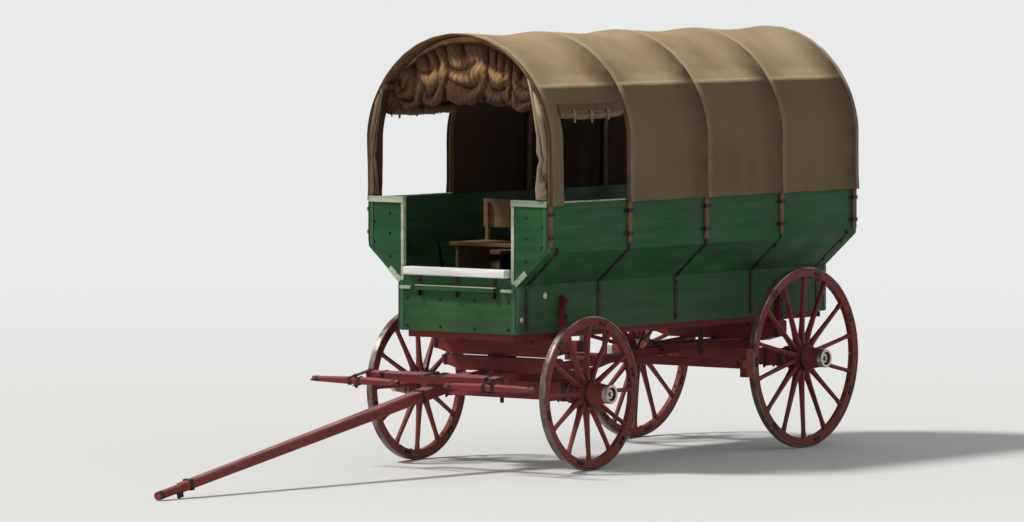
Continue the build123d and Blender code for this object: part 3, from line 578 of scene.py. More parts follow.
def add_nut(bm, place, out, radius, height):
    """Adds a square nut with the bolt's end standing out of it."""
    matrix = facing(place, out)
    add_cone(bm, 4, radius * 1.3, radius * 1.3, height, matrix @ Matrix.Translation((0, 0, height / 2)))
    add_cone(bm, 10, radius * 0.55, radius * 0.45, height, matrix @ Matrix.Translation((0, 0, height)))


def both_sides(bm):
    """Adds everything made so far again, mirrored to the other side of the middle."""
    copied = bmesh.ops.duplicate(bm, geom=bm.verts[:] + bm.edges[:] + bm.faces[:])["geom"]
    bmesh.ops.scale(bm, vec=(-1, 1, 1), verts=verts_in(copied))
    bmesh.ops.reverse_faces(bm, faces=faces_in(copied))


def smooth(value, low, high):
    """0 below low, 1 above high, and an even curve between."""
    share = min(1.0, max(0.0, (value - low) / (high - low)))
    return share * share * (3 - 2 * share)


# Wood of the frame, each timber with its corners eased
wood_finishes = {
    # slot: material, easing
    "green_painted_board": (green_paint, 0.0022),
    "red_painted_timber": (crimson_paint, 0.004),
    "bow_ash": (bent_ash, 0.002),
    "bench_board": (seat_pine, 0.003),
    "pale_board": (white_paint, 0.003),
}
# The brake beam's straps end 2 mm above its underside, which leaves room for little easing
finer_easing = {"brake_beam": 0.0009}
wheel_names = [end + "_" + side for end in ("front", "rear") for side in ("left", "right")]
wheel_nodes = [name + "_wheel" for name in wheel_names]
for node, slot in slot_of.items():
    if slot in wood_finishes and node not in wheel_nodes:
        wood, easing = wood_finishes[slot]
        eased_copy(node, wood, finer_easing.get(node, easing))
for node, slot in slot_of.items():
    if slot == "black_iron":
        frame["nodes"][node].data.materials.clear()
        frame["nodes"][node].data.materials.append(black_iron)


# Wheels, made about the X axis with the outer side towards +X
HUB_STEPS = 48


def add_turned(bm, outline, steps, sweep=2 * math.pi):
    """Adds a solid turned about the X axis from a closed outline (x, radius)."""
    before = set(bm.verts)
    ring = [bm.verts.new((x, 0, radius)) for x, radius in outline]
    edges = [bm.edges.new(pair) for pair in zip(ring, ring[1:] + ring[:1])]
    full = sweep > 2 * math.pi - 0.001
    spun = bmesh.ops.spin(
        bm, geom=ring + edges, cent=(0, 0, 0), axis=(1, 0, 0), angle=sweep, steps=steps, use_merge=full)
    if not full:
        bm.faces.new(ring)
        bm.faces.new(verts_in(spun["geom_last"]))
    solid = made_since(bm, before)
    bmesh.ops.recalc_face_normals(bm, faces=faces_of(solid))
    return solid


def repeat_round(bm, verts, number):
    """Repeats a loose part, evenly round the X axis."""
    edges = edges_of(verts)
    grain = bm.verts.layers.float_vector["grain"]
    for turn in range(1, number):
        moved = verts_in(bmesh.ops.duplicate(bm, geom=verts + edges + faces_of(verts))["geom"])
        turned = Matrix.Rotation(turn * 2 * math.pi / number, 3, "X")
        bmesh.ops.rotate(bm, cent=(0, 0, 0), matrix=turned, verts=moved)
        for vert in moved:
            vert[grain] = vert[grain] + Vector((turn * 1.37, turn * 0.21, 0))


def chamfered(low, high, inner, outer, cut):
    """A closed outline (x, radius) of a rectangle with its corners cut."""
    return [
        (low + cut, inner), (high - cut, inner), (high, inner + cut), (high, outer - cut),
        (high - cut, outer), (low + cut, outer), (low, outer - cut), (low, inner + cut),
    ]


def squared(wave, squareness):
    """A sine or cosine pushed outwards: 2 leaves a circle round, more makes it squarer."""
    return math.copysign(abs(wave) ** (2 / squareness), wave)


def add_spoke(bm, felloe_inner):
    """One spoke: square in the hub, swelling to an oval waist, and shouldered at the felloe."""
    root, tip = 0.088, felloe_inner + 0.006
    stations = [
        # share of the length, half width, half depth, squareness
        (0.00, 0.029, 0.0175, 6.0),
        (0.07, 0.029, 0.0175, 6.0),
        (0.16, 0.0245, 0.0165, 3.0),
        (0.30, 0.0220, 0.0160, 2.2),
        (0.60, 0.0185, 0.0148, 2.1),
        (0.88, 0.0165, 0.0140, 2.2),
        (0.95, 0.0185, 0.0160, 3.0),
        (1.00, 0.0185, 0.0160, 3.2),
    ]
    before = set(bm.verts)
    add_cone(bm, 20, 1.0, 1.0, 1.0, Matrix())
    sides = [
        edge for edge in edges_of(made_since(bm, before))
        if abs(edge.verts[0].co.z - edge.verts[1].co.z) > 0.5
    ]
    bmesh.ops.subdivide_edges(bm, edges=sides, cuts=23, use_grid_fill=True)
    verts = made_since(bm, before)
    grain = bm.verts.layers.float_vector["grain"]
    wear = bm.verts.layers.float["wear"]
    for vert in verts:
        share = vert.co.z + 0.5
        above = next(number for number, row in enumerate(stations) if row[0] >= share - 1e-6)
        high = stations[above]
        low = stations[max(0, above - 1)]
        between = smooth(share, low[0], high[0]) if high[0] > low[0] else 1.0
        half_width, half_depth, squareness = [a + (b - a) * between for a, b in zip(low[1:], high[1:])]
        angle = math.atan2(vert.co.y, vert.co.x)
        across = squared(math.cos(angle), squareness) * half_width
        round_wheel = squared(math.sin(angle), squareness) * half_depth
        radius = root + (tip - root) * share
        vert.co = (SPOKE_ROOT_X + (TRACK_HALF - SPOKE_ROOT_X) * share + across, round_wheel, radius)
        vert[grain] = (radius, across * 1.5, round_wheel * 1.5)
        between_ends = smooth(share, 0.1, 0.3) * (1 - smooth(share, 0.8, 0.95))
        vert[wear] = 0.55 * abs(math.cos(angle)) ** 6 * between_ends
    return verts


def wheel_wood(radius, spokes):
    """Hub, spokes and felloes in one mesh; each felloe takes two spokes."""
    bm = new_solid()
    felloe_outer = radius - TYRE_THICKNESS - 0.0004
    felloe_inner = felloe_outer - FELLOE_DEPTH
    repeat_round(bm, add_spoke(bm, felloe_inner), spokes)
    felloes = spokes // 2
    step = 2 * math.pi / felloes
    joint = 0.0015 / radius
    outline = chamfered(
        TRACK_HALF - FELLOE_WIDTH / 2, TRACK_HALF + FELLOE_WIDTH / 2, felloe_inner, felloe_outer, 0.005)
    verts = add_turned(bm, outline, 14, step - 2 * joint)
    bmesh.ops.rotate(bm, cent=(0, 0, 0), matrix=Matrix.Rotation(joint + step / 4, 3, "X"), verts=verts)
    grain = bm.verts.layers.float_vector["grain"]
    wear = bm.verts.layers.float["wear"]
    for vert in verts:
        reach = math.hypot(vert.co.y, vert.co.z)
        vert[grain] = (math.atan2(vert.co.y, vert.co.z) * reach, vert.co.x, reach)
        vert[wear] = 0.6 if reach < felloe_inner + 0.001 else 0.1
    repeat_round(bm, verts, felloes)
    hub = add_turned(bm, [
        (HUB_INNER, 0.036), (HUB_INNER, 0.070), (HUB_INNER + 0.004, 0.074), (0.640, 0.080),
        (0.668, 0.088), (0.688, 0.095), (0.700, 0.0965), (0.772, 0.0965), (0.784, 0.095),
        (0.804, 0.088), (0.840, 0.077), (0.900, 0.067), (HUB_OUTER - 0.006, 0.0615),
        (HUB_OUTER, 0.058), (HUB_OUTER, 0.046), (ARM_END - 0.0015, 0.046), (ARM_END - 0.0015, 0.036),
    ], HUB_STEPS)
    for vert in hub:
        reach = math.hypot(vert.co.y, vert.co.z)
        vert[grain] = (vert.co.x, math.atan2(vert.co.y, vert.co.z) * 0.08, reach)
    return bm


def wheel_irons(radius, spokes):
    """Hub bands, and a clip with its bolts and nuts in the middle of each felloe."""
    bm = bmesh.new()
    bands = [
        # inner x, outer x, outer radius
        (HUB_INNER - 0.001, HUB_INNER + 0.022, 0.0765),
        (0.664, 0.690, 0.0985),
        (0.784, 0.808, 0.0965),
    ]
    for low, high, outer in bands:
        add_turned(bm, chamfered(low, high, outer - 0.016, outer, 0.0015), HUB_STEPS)
    felloe_inner = radius - TYRE_THICKNESS - FELLOE_DEPTH
    felloes = spokes // 2
    for number in range(felloes):
        before = set(bm.verts)
        low = (TRACK_HALF - FELLOE_WIDTH / 2 - 0.003, -0.035, felloe_inner + 0.012)
        high = (TRACK_HALF + FELLOE_WIDTH / 2 + 0.003, 0.035, felloe_inner + 0.040)
        add_block(bm, low, high, 0.002)
        for along in (-0.022, 0.022):
            for side in (-1, 1):
                place = (TRACK_HALF + side * (FELLOE_WIDTH / 2 + 0.004), along, felloe_inner + 0.026)
                add_bolt(bm, place, (side, 0, 0), 0.006)
            add_nut(bm, (TRACK_HALF, along * 2.6, felloe_inner), (0, 0, -1), 0.009, 0.008)
        # A quarter of a felloe is half way between two spokes
        turn = Matrix.Rotation((number - 0.25) * 2 * math.pi / felloes, 4, "X")
        bmesh.ops.transform(bm, matrix=turn, verts=made_since(bm, before))
    return bm


def wheel_cap():
    """The bright band round the hub's mouth."""
    bm = bmesh.new()
    add_turned(bm, chamfered(HUB_OUTER - 0.040, HUB_OUTER + 0.0015, 0.046, 0.066, 0.002), HUB_STEPS)
    return bm


def wheel_tyre(radius):
    """The tyre, a hoop of flat iron with its outer corners worn round."""
    bm = bmesh.new()
    low, high = TRACK_HALF - TYRE_WIDTH / 2, TRACK_HALF + TYRE_WIDTH / 2
    outline = [
        (low, radius - TYRE_THICKNESS), (high, radius - TYRE_THICKNESS),
        (high, radius - 0.004), (high - 0.002, radius - 0.0015), (high - 0.005, radius),
        (low + 0.005, radius), (low + 0.002, radius - 0.0015), (low, radius - 0.004),
    ]
    add_turned(bm, outline, 128)
    return bm


for name in wheel_names:
    centre = middle_of(name + "_tyre")
    low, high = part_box(name + "_tyre")
    radius = (high.z - low.z) / 2
    spokes = 12 if name.startswith("front") else 14
    body = body_of_node(name + "_tyre")
    wheel_parts = [
        # name, shape, slot, material, nodes that it stands for
        ("_wheel_wood", wheel_wood(radius, spokes), "red_painted_timber", wheel_paint, [name + "_wheel"]),
        ("_wheel_irons", wheel_irons(radius, spokes), "black_iron", black_iron, []),
        ("_hub_band", wheel_cap(), "black_iron", bright_steel, []),
        ("_tyre_hoop", wheel_tyre(radius), "tyre_iron", tyre_iron, [name + "_tyre"]),
    ]
    for part_name, bm, slot, material, nodes in wheel_parts:
        if name.endswith("right"):
            bmesh.ops.scale(bm, vec=(-1, 1, 1), verts=bm.verts)
            bmesh.ops.reverse_faces(bm, faces=bm.faces)
        bmesh.ops.translate(bm, vec=(0, centre.y, centre.z), verts=bm.verts)
        finish_piece(name + part_name, bm, body, [material], nodes)


def axle_nuts(name, body, y, z):
    """The nuts at the ends of an axle's arms, which stand still in the turning hubs."""
    bm = bmesh.new()
    upright = Matrix.Rotation(math.pi / 2, 4, "Y")
    nut_and_arm = [
        # middle beyond the arm, length, sides, inner radius, outer radius
        (0.0125, 0.0245, 6, 0.0375, 0.0365),
        (0.031, 0.012, 20, 0.017, 0.014),
    ]
    for beyond, length, sides, base, top in nut_and_arm:
        place = Matrix.Translation((ARM_END + beyond, behind(y), z))
        add_cone(bm, sides, base, top, length, place @ upright)
    both_sides(bm)
    finish_piece(name, bm, body, [bright_steel])


axle_nuts("front_axle_nuts", "front_gear", FRONT_AXLE, FRONT_HUB_Z)
axle_nuts("rear_axle_nuts", "wagon", REAR_AXLE, REAR_HUB_Z)

# Canvas cover
CLOTH_THICKNESS = 0.0024
CLOTH_STEP = 0.026
HEM = 0.03
SEAM_HALF = 0.018


def arch(girth):
    """The place (x, z) and outward direction at a girth along the arch; 0 is the crown."""
    side = 1 if girth >= 0 else -1
    reach = abs(girth)
    if reach <= CROWN_GIRTH:
        lean = reach / CROWN_RADIUS
        out = Vector((math.sin(lean), math.cos(lean)))
        place = Vector((0, COVER_TOP - CROWN_RADIUS)) + out * CROWN_RADIUS
    elif reach <= SPRING_GIRTH:
        rise = (SPRING_GIRTH - reach) / COVER_SHOULDER_RADIUS
        out = Vector((math.cos(rise), math.sin(rise)))
        place = Vector((COVER_HALF - COVER_SHOULDER_RADIUS, COVER_SPRING)) + out * COVER_SHOULDER_RADIUS
    else:
        out = Vector((1, 0))
        place = Vector((COVER_HALF, COVER_SPRING - (reach - SPRING_GIRTH)))
    return Vector((side * place.x, place.y)), Vector((side * out.x, out.y))


def spread(stops, step):
    """Places from the first stop to the last, about a step apart, with every stop among them."""
    places = [stops[0]]
    for low, high in zip(stops, stops[1:]):
        count = max(1, round((high - low) / step))
        places += [low + (high - low) * (number + 1) / count for number in range(count)]
    return places


def new_cloth(across, along):
    """A flat grid of cloth with its lines at the given places, and the marks for place and for the level of
    painted light.
    """
    bm = bmesh.new()
    bm.verts.layers.float_vector.new("cloth")
    bm.verts.layers.float.new("doubled")
    bm.verts.layers.float.new("painted_light_level")
    bmesh.ops.create_grid(bm, x_segments=len(across) - 1, y_segments=len(along) - 1, size=1.0)
    cloth = bm.verts.layers.float_vector["cloth"]
    for vert in bm.verts:
        column = round((vert.co.x + 1) / 2 * (len(across) - 1))
        row = round((vert.co.y + 1) / 2 * (len(along) - 1))
        vert[cloth] = (across[column], along[row], 0)
        vert.co = vert[cloth]
    return bm, cloth, bm.verts.layers.float["painted_light_level"]


def bay_belly(along):
    """0 at a bow and 1 half way to the next, a little nearer the bow behind."""
    share = (along - BOWS[0]) / BAY
    if share <= 0 or share >= len(BOWS) - 1:
        return 0.0
    share = (share % 1.0) ** 1.12
    return math.sin(math.pi * share) ** 1.3


def ripple(girth, along, scale, seed):
    """A smooth wander between about -1 and 1 over the cloth."""
    return noise.noise(Vector((girth * scale, along * scale, seed)))


def hung_cover(girth, along):
    """Where a place of the cover's cloth hangs: taut on bows and battens, slack between them."""
    place, out = arch(girth)
    reach = abs(girth)
    belly = bay_belly(along)
    above = max(0.0, CREASE_GIRTH - reach)
    below = max(0.0, reach - CREASE_GIRTH)
    low = smooth(reach, SPRING_GIRTH, HEM_GIRTH)
    slack_roof = (0.022 + 0.016 * smooth(reach, 0.05, 0.45)) * min(1.0, above / 0.11) ** 0.8
    slack_wall = 0.027 * min(1.0, below / 0.12) ** 0.8 * (1 - 0.8 * low)
    in_by = 0.001 + belly * (slack_roof + slack_wall)
    in_by += 0.0030 * ripple(girth, along, 2.6, 1.7) * (0.3 + belly)
    in_by += 0.0012 * ripple(girth, along, 9.0, 4.2)
    # Short puckers that run out from each bow on the roof
    from_bow = min(abs(along - bow) for bow in BOWS)
    pucker = math.sin(girth * 42 + 4 * ripple(girth, along, 2.0, 8.1)) * math.exp(-(from_bow / 0.10) ** 2)
    in_by += 0.0016 * pucker * min(1.0, above / 0.1) * (0.35 + 0.65 * min(1.0, from_bow / 0.05))
    # Soft upright folds on the walls, deepest at the hem
    wall = min(1.0, below / 0.2)
    folds = math.sin(along * 2 * math.pi / 0.23 + 5 * ripple(girth * 0.25, along, 1.3, 5.5))
    in_by += wall * (0.0022 + 0.0055 * low) * folds * (0.4 + 0.6 * belly)
    in_by -= 0.006 * smooth(reach, HEM_GIRTH - 0.12, HEM_GIRTH)
    gathered = smooth(WINDOW_FRONT - along, 0, 0.03) * smooth(reach, WINDOW_GIRTH, HEM_GIRTH - 0.1)
    if gathered > 0:
        in_by += gathered * 0.007 * math.sin(along * 2 * math.pi / 0.047 + 1.5)
        along = BOWS[0] + (along - BOWS[0]) * (1 - 0.30 * gathered)
    edge = place - out * in_by
    hem_lift = 0.004 * (1 - math.cos(2 * math.pi * (along - BOWS[0]) / (BAY / 2))) / 2
    edge.y += hem_lift * smooth(reach, HEM_GIRTH - 0.25, HEM_GIRTH)
    return Vector((edge.x, behind(along), edge.y))


def finish_cloth(name, bm, materials, replaces=()):
    """A sheet of cloth as a piece, with its thickness from a modifier and its hems doubled."""
    piece = finish_piece(name, bm, "wagon", materials, replaces, sharp=75.0, weighted=False)
    doubled = piece.vertex_groups.new(name="doubled")
    for number, mark in enumerate(piece.data.attributes["doubled"].data):
        doubled.add([number], 0.5 + 0.5 * mark.value, "REPLACE")
    thick = piece.modifiers.new("cloth thickness", "SOLIDIFY")
    thick.thickness = 2 * CLOTH_THICKNESS
    thick.offset = -1.0
    thick.vertex_group = "doubled"
    thick.material_offset = 1
    thick.material_offset_rim = 0
    return piece


def face_out(bm, wanted):
    """Turns the sheet over where its faces look against the wanted direction on the whole."""
    bm.normal_update()
    total = sum((face.normal.dot(wanted(face.calc_center_median())) for face in bm.faces), 0.0)
    if total < 0:
        bmesh.ops.reverse_faces(bm, faces=bm.faces)


def canvas_cover():
    """The cover in one sheet over the five bows, with a window cut in each side."""
    half = [
        0.0, CREASE_GIRTH - 0.014, CREASE_GIRTH - 0.002, CREASE_GIRTH + 0.002, CREASE_GIRTH + 0.014,
        WINDOW_GIRTH, HEM_GIRTH - HEM, HEM_GIRTH]
    seams = [place for bow in BOWS[1:4] for place in (bow - SEAM_HALF, bow + SEAM_HALF)]
    ends = [COVER_FRONT, COVER_FRONT + HEM, WINDOW_FRONT, WINDOW_REAR, *seams, COVER_REAR - HEM, COVER_REAR]
    across = spread([-girth for girth in half[:0:-1]] + half, CLOTH_STEP)
    bm, cloth, _ = new_cloth(across, spread(ends, CLOTH_STEP))
    in_windows = [
        face for face in bm.faces
        if WINDOW_FRONT < face.calc_center_median().y < WINDOW_REAR
        and abs(face.calc_center_median().x) > WINDOW_GIRTH
    ]
    bmesh.ops.delete(bm, geom=in_windows, context="FACES")
    doubled = bm.verts.layers.float["doubled"]
    for vert in bm.verts:
        girth, y, _ = vert[cloth]
        at_end = min(y - COVER_FRONT, COVER_REAR - y) < HEM + 0.001
        at_foot = HEM_GIRTH - abs(girth) < HEM + 0.001
        at_seam = any(abs(y - bow) < SEAM_HALF + 0.001 for bow in BOWS[1:4])
        vert[doubled] = 1.0 if at_end or at_foot or at_seam else 0.0
        vert.co = hung_cover(girth, y)
    # The hems at both ends turn in, so that the cloth's outside shows on them from inside too
    for face in bm.faces:
        y = face.calc_center_median().y
        from_end = min(y - behind(COVER_FRONT), behind(COVER_REAR) - y)
        face.material_index = 2 if from_end < HEM else 0
    face_out(bm, lambda place: Vector((place.x, 0, place.z - COVER_SPRING)))
    piece = finish_cloth(
        "canvas_cover", bm, [tan_canvas, shaded_inside_canvas, tan_canvas, tan_canvas],
        ["cover_roof", "cover_left_eave", "cover_right_eave", "cover_left_side", "cover_right_side"])


canvas_cover()


# Curtains at both ends, drawn up in puckers under the end bows
CURTAIN_UNDERSIDE = 2.53
CURTAIN_GAP = 0.0255


def crumple(value):
    """0 in a narrow valley and 1 on a broad round crest, each time the value passes 1."""
    return abs(math.sin(math.pi * value)) ** 0.7


def curtain(name, node, y_bow, inward, seed):
    """A half-round of canvas drawn up in swags under an end bow, its lower edge turned in."""
    half = WINDOW_GIRTH + 0.02
    bm, cloth, painted_light_level = new_cloth(spread([-half, half], 0.0085), spread([0.0, 1.0], 1 / 62))
    # The share of the cloth that hangs; the rest is turned in below
    hang = 0.76
    for vert in bm.verts:
        girth, share, _ = vert[cloth]
        place, out = arch(girth)
        top = place - out * 0.024
        # The swags hang from cords, unevenly spaced
        swag = girth / 0.31 + 0.55 * ripple(girth, 0, 1.9, seed) + 0.5
        droop = abs(math.sin(math.pi * swag)) ** 1.2
        x_low = top.x * 0.90
        sag = 0.030 * droop + 0.014 * ripple(girth, 0, 8.0, seed + 3)
        low_z = CURTAIN_UNDERSIDE + 0.045 - 0.085 * (x_low / 0.68) ** 2 - sag
        low = Vector((x_low, min(low_z, top.y - 0.045)))
        deep = smooth(top.y - low.y, 0.06, 0.28)
        down = min(1.0, share / hang)
        # Pleats fan down from the bow and turn into swags lower down
        pleats = crumple(girth * 7.5 + 1.1 * ripple(girth, down * 0.5, 2.7, seed + 7))
        small = crumple(girth * 19.0 + 1.4 * ripple(girth, down, 4.0, seed + 5))
        swags = crumple(3.1 * (down - 0.15 * droop) + 0.55 * ripple(girth, down * 0.6, 4.5, seed + 11))
        swagged = smooth(down, 0.22, 0.55) * (0.25 + 0.75 * droop)
        relief = 0.72 * (pleats + (swags - pleats) * swagged) + 0.16 * small
        relief += 0.22 * ripple(girth, down * 0.5, 6.0, seed + 2)
        forward = 0.050 * relief * smooth(down, 0.0, 0.16) * (0.3 + 0.7 * deep)
        spot = top.lerp(low, down)
        spot.x += 0.014 * (pleats - 0.5) * smooth(down, 0.1, 0.5) * (1 - swagged)
        depth = 0.058 - forward
        if share > hang:
            turn = (share - hang) / (1 - hang)
            radius = (0.016 + 0.008 * crumple(girth * 8.3 + seed)) * (1 - 0.45 * turn) * (0.45 + 0.55 * deep)
            angle = turn * 2.4 * math.pi
            depth += radius * (1 - math.cos(angle)) * 0.8
            spot.y -= radius * math.sin(angle)
        depth = max(0.003, min(0.067, depth))
        vert.co = (spot.x, behind(y_bow + inward * depth), spot.y)
        # Painted highlights: crests are brightest half way down and near the crown, and the hem at the bow
        # has a painted highlight in places; low levels give painted shade
        sunlit = 0.30 + 0.70 * math.exp(-(((down - 0.52) / 0.27) ** 2)) * math.exp(-((girth / 0.72) ** 2))
        lit_crest = min(1.0, relief * 1.2 + 0.1 * ripple(girth, down, 5.0, seed + 9)) * sunlit
        hem_highlight = (1 - smooth(down, 0.06, 0.14)) * (1.05 + 0.7 * ripple(girth, 0, 4.5, seed + 13))
        vert[painted_light_level] = max(hem_highlight * 0.95, lit_crest)
        vert[cloth] = (girth, share * 0.75 + seed, 0)
    face_out(bm, lambda _: Vector((0, -inward, 0)))
    piece = finish_cloth(name, bm, [gathered_canvas, shaded_inside_canvas], [node])


curtain("front_curtain", "front_flap", BOWS[0] + CURTAIN_GAP, 1, 2.0)
curtain("rear_curtain", "rear_flap", BOWS[4] - CURTAIN_GAP, -1, 17.0)


def arch_half_width(z):
    """How far the cover's underside is from the middle at a height."""
    if z < COVER_SPRING:
        return COVER_HALF - 0.006
    rise = z - COVER_TOP + CROWN_RADIUS
    return min(COVER_HALF, math.sqrt(max(0.0, CROWN_RADIUS ** 2 - rise ** 2))) - 0.006


def end_drape(name, side, y_bow, forward, stoutness, seed, outside):
    """A canvas drape that fans out under the arch and is drawn back in a bunch to the bow's leg."""
    bm, cloth, painted_light_level = new_cloth(spread([0.0, 1.0], 1 / 110), spread([0.0, 1.0], 1 / 70))
    foot, head = 1.886, 2.60
    for vert in bm.verts:
        round_by, down, _ = vert[cloth]
        angle = (round_by - 0.5) * 2 * math.pi * 0.94
        z = head + (foot - head) * down
        tie = math.exp(-((down - 0.62) / 0.05) ** 2)
        half_width = stoutness * (0.047 - 0.012 * tie + 0.007 * smooth(down, 0.7, 1.0))
        half_depth = stoutness * (0.034 - 0.009 * tie + 0.004 * smooth(down, 0.7, 1.0))
        fan = round_by * 3.6 + 1.1 * down + 1.5 * ripple(round_by, down, 1.9, seed)
        small = crumple(fan * 2.4 + 3.0 * down + ripple(round_by, down, 3.5, seed + 2))
        folds = crumple(fan) * 0.72 + 0.28 * small
        size = 0.46 + 0.54 * folds
        middle_x = arch_half_width(z) - 0.018 - half_width
        bunch = Vector((
            middle_x - half_width * size * math.sin(angle),
            y_bow - forward * (0.018 + half_depth * size * math.cos(angle)), z))
        # At the top each fold runs up to its own place along the arch
        place, out = arch(WINDOW_GIRTH - 0.13 * stoutness - 0.15 * stoutness * math.sin(angle / 1.9))
        under = place - out * (0.012 + 0.012 * (1 - folds))
        fan_top = Vector((under.x, y_bow - forward * (0.027 + 0.006 * math.cos(angle)), under.y))
        spot = fan_top.lerp(bunch, smooth(down, -0.05, 0.42))
        vert.co = (side * spot.x, behind(spot.y), spot.z)
        # Painted light: each drape is paler at its top and darker lower down, and the crests of its folds are
        # painted highlights
        sunlit = 1 - 0.35 * smooth(down, 0.2, 0.45) + 0.35 * (1 - smooth(down, 0.0, 0.22))
        vert[painted_light_level] = folds * sunlit + 0.12 * ripple(round_by, down, 5.0, seed + 4)
        vert[cloth] = (round_by * 0.4 + seed, down * 0.725, 0)
    face_out(bm, lambda place: Vector((0, place.y - behind(y_bow) + forward * 0.018, 0)))
    piece = finish_cloth(name, bm, [outside, shaded_inside_canvas])


end_drape("front_left_drape", 1, BOWS[0], 1, 1.0, 3.0, sunlit_canvas)
end_drape("front_right_drape", -1, BOWS[0], 1, 0.66, 5.0, shaded_canvas)
end_drape("rear_left_drape", 1, BOWS[4], -1, 0.75, 7.0, shaded_canvas)
end_drape("rear_right_drape", -1, BOWS[4], -1, 0.85, 9.0, sunlit_canvas)


# Rolls of the side windows' flaps, and the webbing
WINDOW_TIES = (0.335, 0.530, 0.720)
ROLL_X = 0.738
ROLL_RADIUS = 0.036
WEBBING_WIDTH = 0.022
WEBBING_THICKNESS = 0.0016


def roll_height(y):
    """The height of the middle of a window's roll, which hangs lowest half way along."""
    from_middle = y - (WINDOW_FRONT + WINDOW_REAR) / 2
    return WINDOW_TOP - 0.026 - 0.016 * math.cos(from_middle * math.pi / 0.74)


def window_roll(name, side, seed):
    """The flap of a side window, rolled up under its top edge and pinched by its ties."""
    length = spread([WINDOW_FRONT + 0.004, WINDOW_REAR - 0.004], 0.016)
    bm, cloth, painted_light_level = new_cloth(spread([0.0, 1.0], 1 / 90), length)
    # The share of the flap that reaches down to the roll, and where its top lies on the cover
    drop = 0.12
    top_girth = WINDOW_GIRTH - 0.035
    for vert in bm.verts:
        share, y, _ = vert[cloth]
        pinch = max(math.exp(-((y - tie) / 0.035) ** 2) for tie in WINDOW_TIES)
        radius = ROLL_RADIUS * (1.06 + 0.10 * ripple(y, 0, 7.0, seed) - 0.22 * pinch)
        centre_z = roll_height(y) + 0.006 * ripple(y, 0, 4.0, seed + 2)
        if share < drop:
            # The flap comes down from the cover's outside and hangs over its own roll
            on_cover = hung_cover(top_girth, y)
            _, out = arch(top_girth)
            top = Vector((on_cover.x, on_cover.z)) + out * 2 * CLOTH_THICKNESS
            spot = top.lerp(Vector((ROLL_X + radius, centre_z)), share / drop)
            # A low painted-light level gives the flap painted shade
            vert[painted_light_level] = 0.3
        else:
            turn = (share - drop) / (1 - drop)
            angle = -turn * 3.2 * 2 * math.pi
            wrinkle = ripple(y * 3, math.cos(angle) * 0.4, 5.0, seed + 4)
            reach = radius * (1 - 0.72 * turn) + 0.004 * wrinkle * (1 - turn)
            spot = Vector((ROLL_X + reach * math.cos(angle), centre_z + reach * math.sin(angle)))
            # The roll's painted highlights and painted shade follow its wrinkles
            vert[painted_light_level] = 0.55 + 0.45 * wrinkle
        vert.co = (side * spot.x, behind(y), spot.y)
        vert[cloth] = (share * 0.5 + 1.2, y, 0)
    face_out(bm, lambda place: Vector((side, 0, 0)) * (1 if place.z > WINDOW_TOP else 0))
    piece = finish_cloth(name, bm, [shaded_canvas, shaded_inside_canvas])


window_roll("left_window_roll", 1, 1.0)
window_roll("right_window_roll", -1, 4.0)


def webbing_ties():
    """Flat webbing loops that tie up the window rolls, each with a loose end."""
    bm = bmesh.new()
    bm.verts.layers.float_vector.new("cloth")
    cloth = bm.verts.layers.float_vector["cloth"]
    across = (0, WEBBING_WIDTH, 0)
    for side in (-1, 1):
        for y in WINDOW_TIES:
            before = set(bm.verts)
            upright = Matrix.Rotation(math.pi / 2, 4, "X")
            circle = bmesh.ops.create_circle(bm, segments=28, radius=0.0335, matrix=upright)["verts"]
            drawn = bmesh.ops.extrude_edge_only(bm, edges=edges_of(circle))["geom"]
            bmesh.ops.translate(bm, vec=across, verts=verts_in(drawn))
            bmesh.ops.recalc_face_normals(bm, faces=faces_in(drawn))
            bmesh.ops.solidify(bm, geom=faces_in(drawn), thickness=-WEBBING_THICKNESS)
            bmesh.ops.recalc_face_normals(bm, faces=faces_of(made_since(bm, before)))
            hangs = carpenter.uniform(0.040, 0.062)
            loose_end = [(0.0, 0.0, 0.034), (0.030, 0.0, 0.026), (0.0365, 0.0, -hangs)]
            add_strip(bm, loose_end, across, WEBBING_THICKNESS, (1, 0, 0))
            tie = made_since(bm, before)
            place = Vector((ROLL_X, behind(y - WEBBING_WIDTH / 2), roll_height(y)))
            bmesh.ops.translate(bm, vec=place, verts=tie)
            if side < 0:
                bmesh.ops.scale(bm, vec=(-1, 1, 1), verts=tie)
                bmesh.ops.reverse_faces(bm, faces=faces_of(tie))
    for vert in bm.verts:
        vert[cloth] = (vert.co.x + vert.co.z, vert.co.y, 0)
    finish_piece("webbing_ties", bm, "wagon", [webbing])


webbing_ties()


# Box trim and irons, made on the left side and mirrored
STRAP_PLACES = (0.110, 0.9275, 1.829, 2.7305, 3.550)
EDGE_IRON = 0.0032
# The way the outer faces of the flare boards look, on the left
FLARE_OUT = (0.664, 0, -0.748)


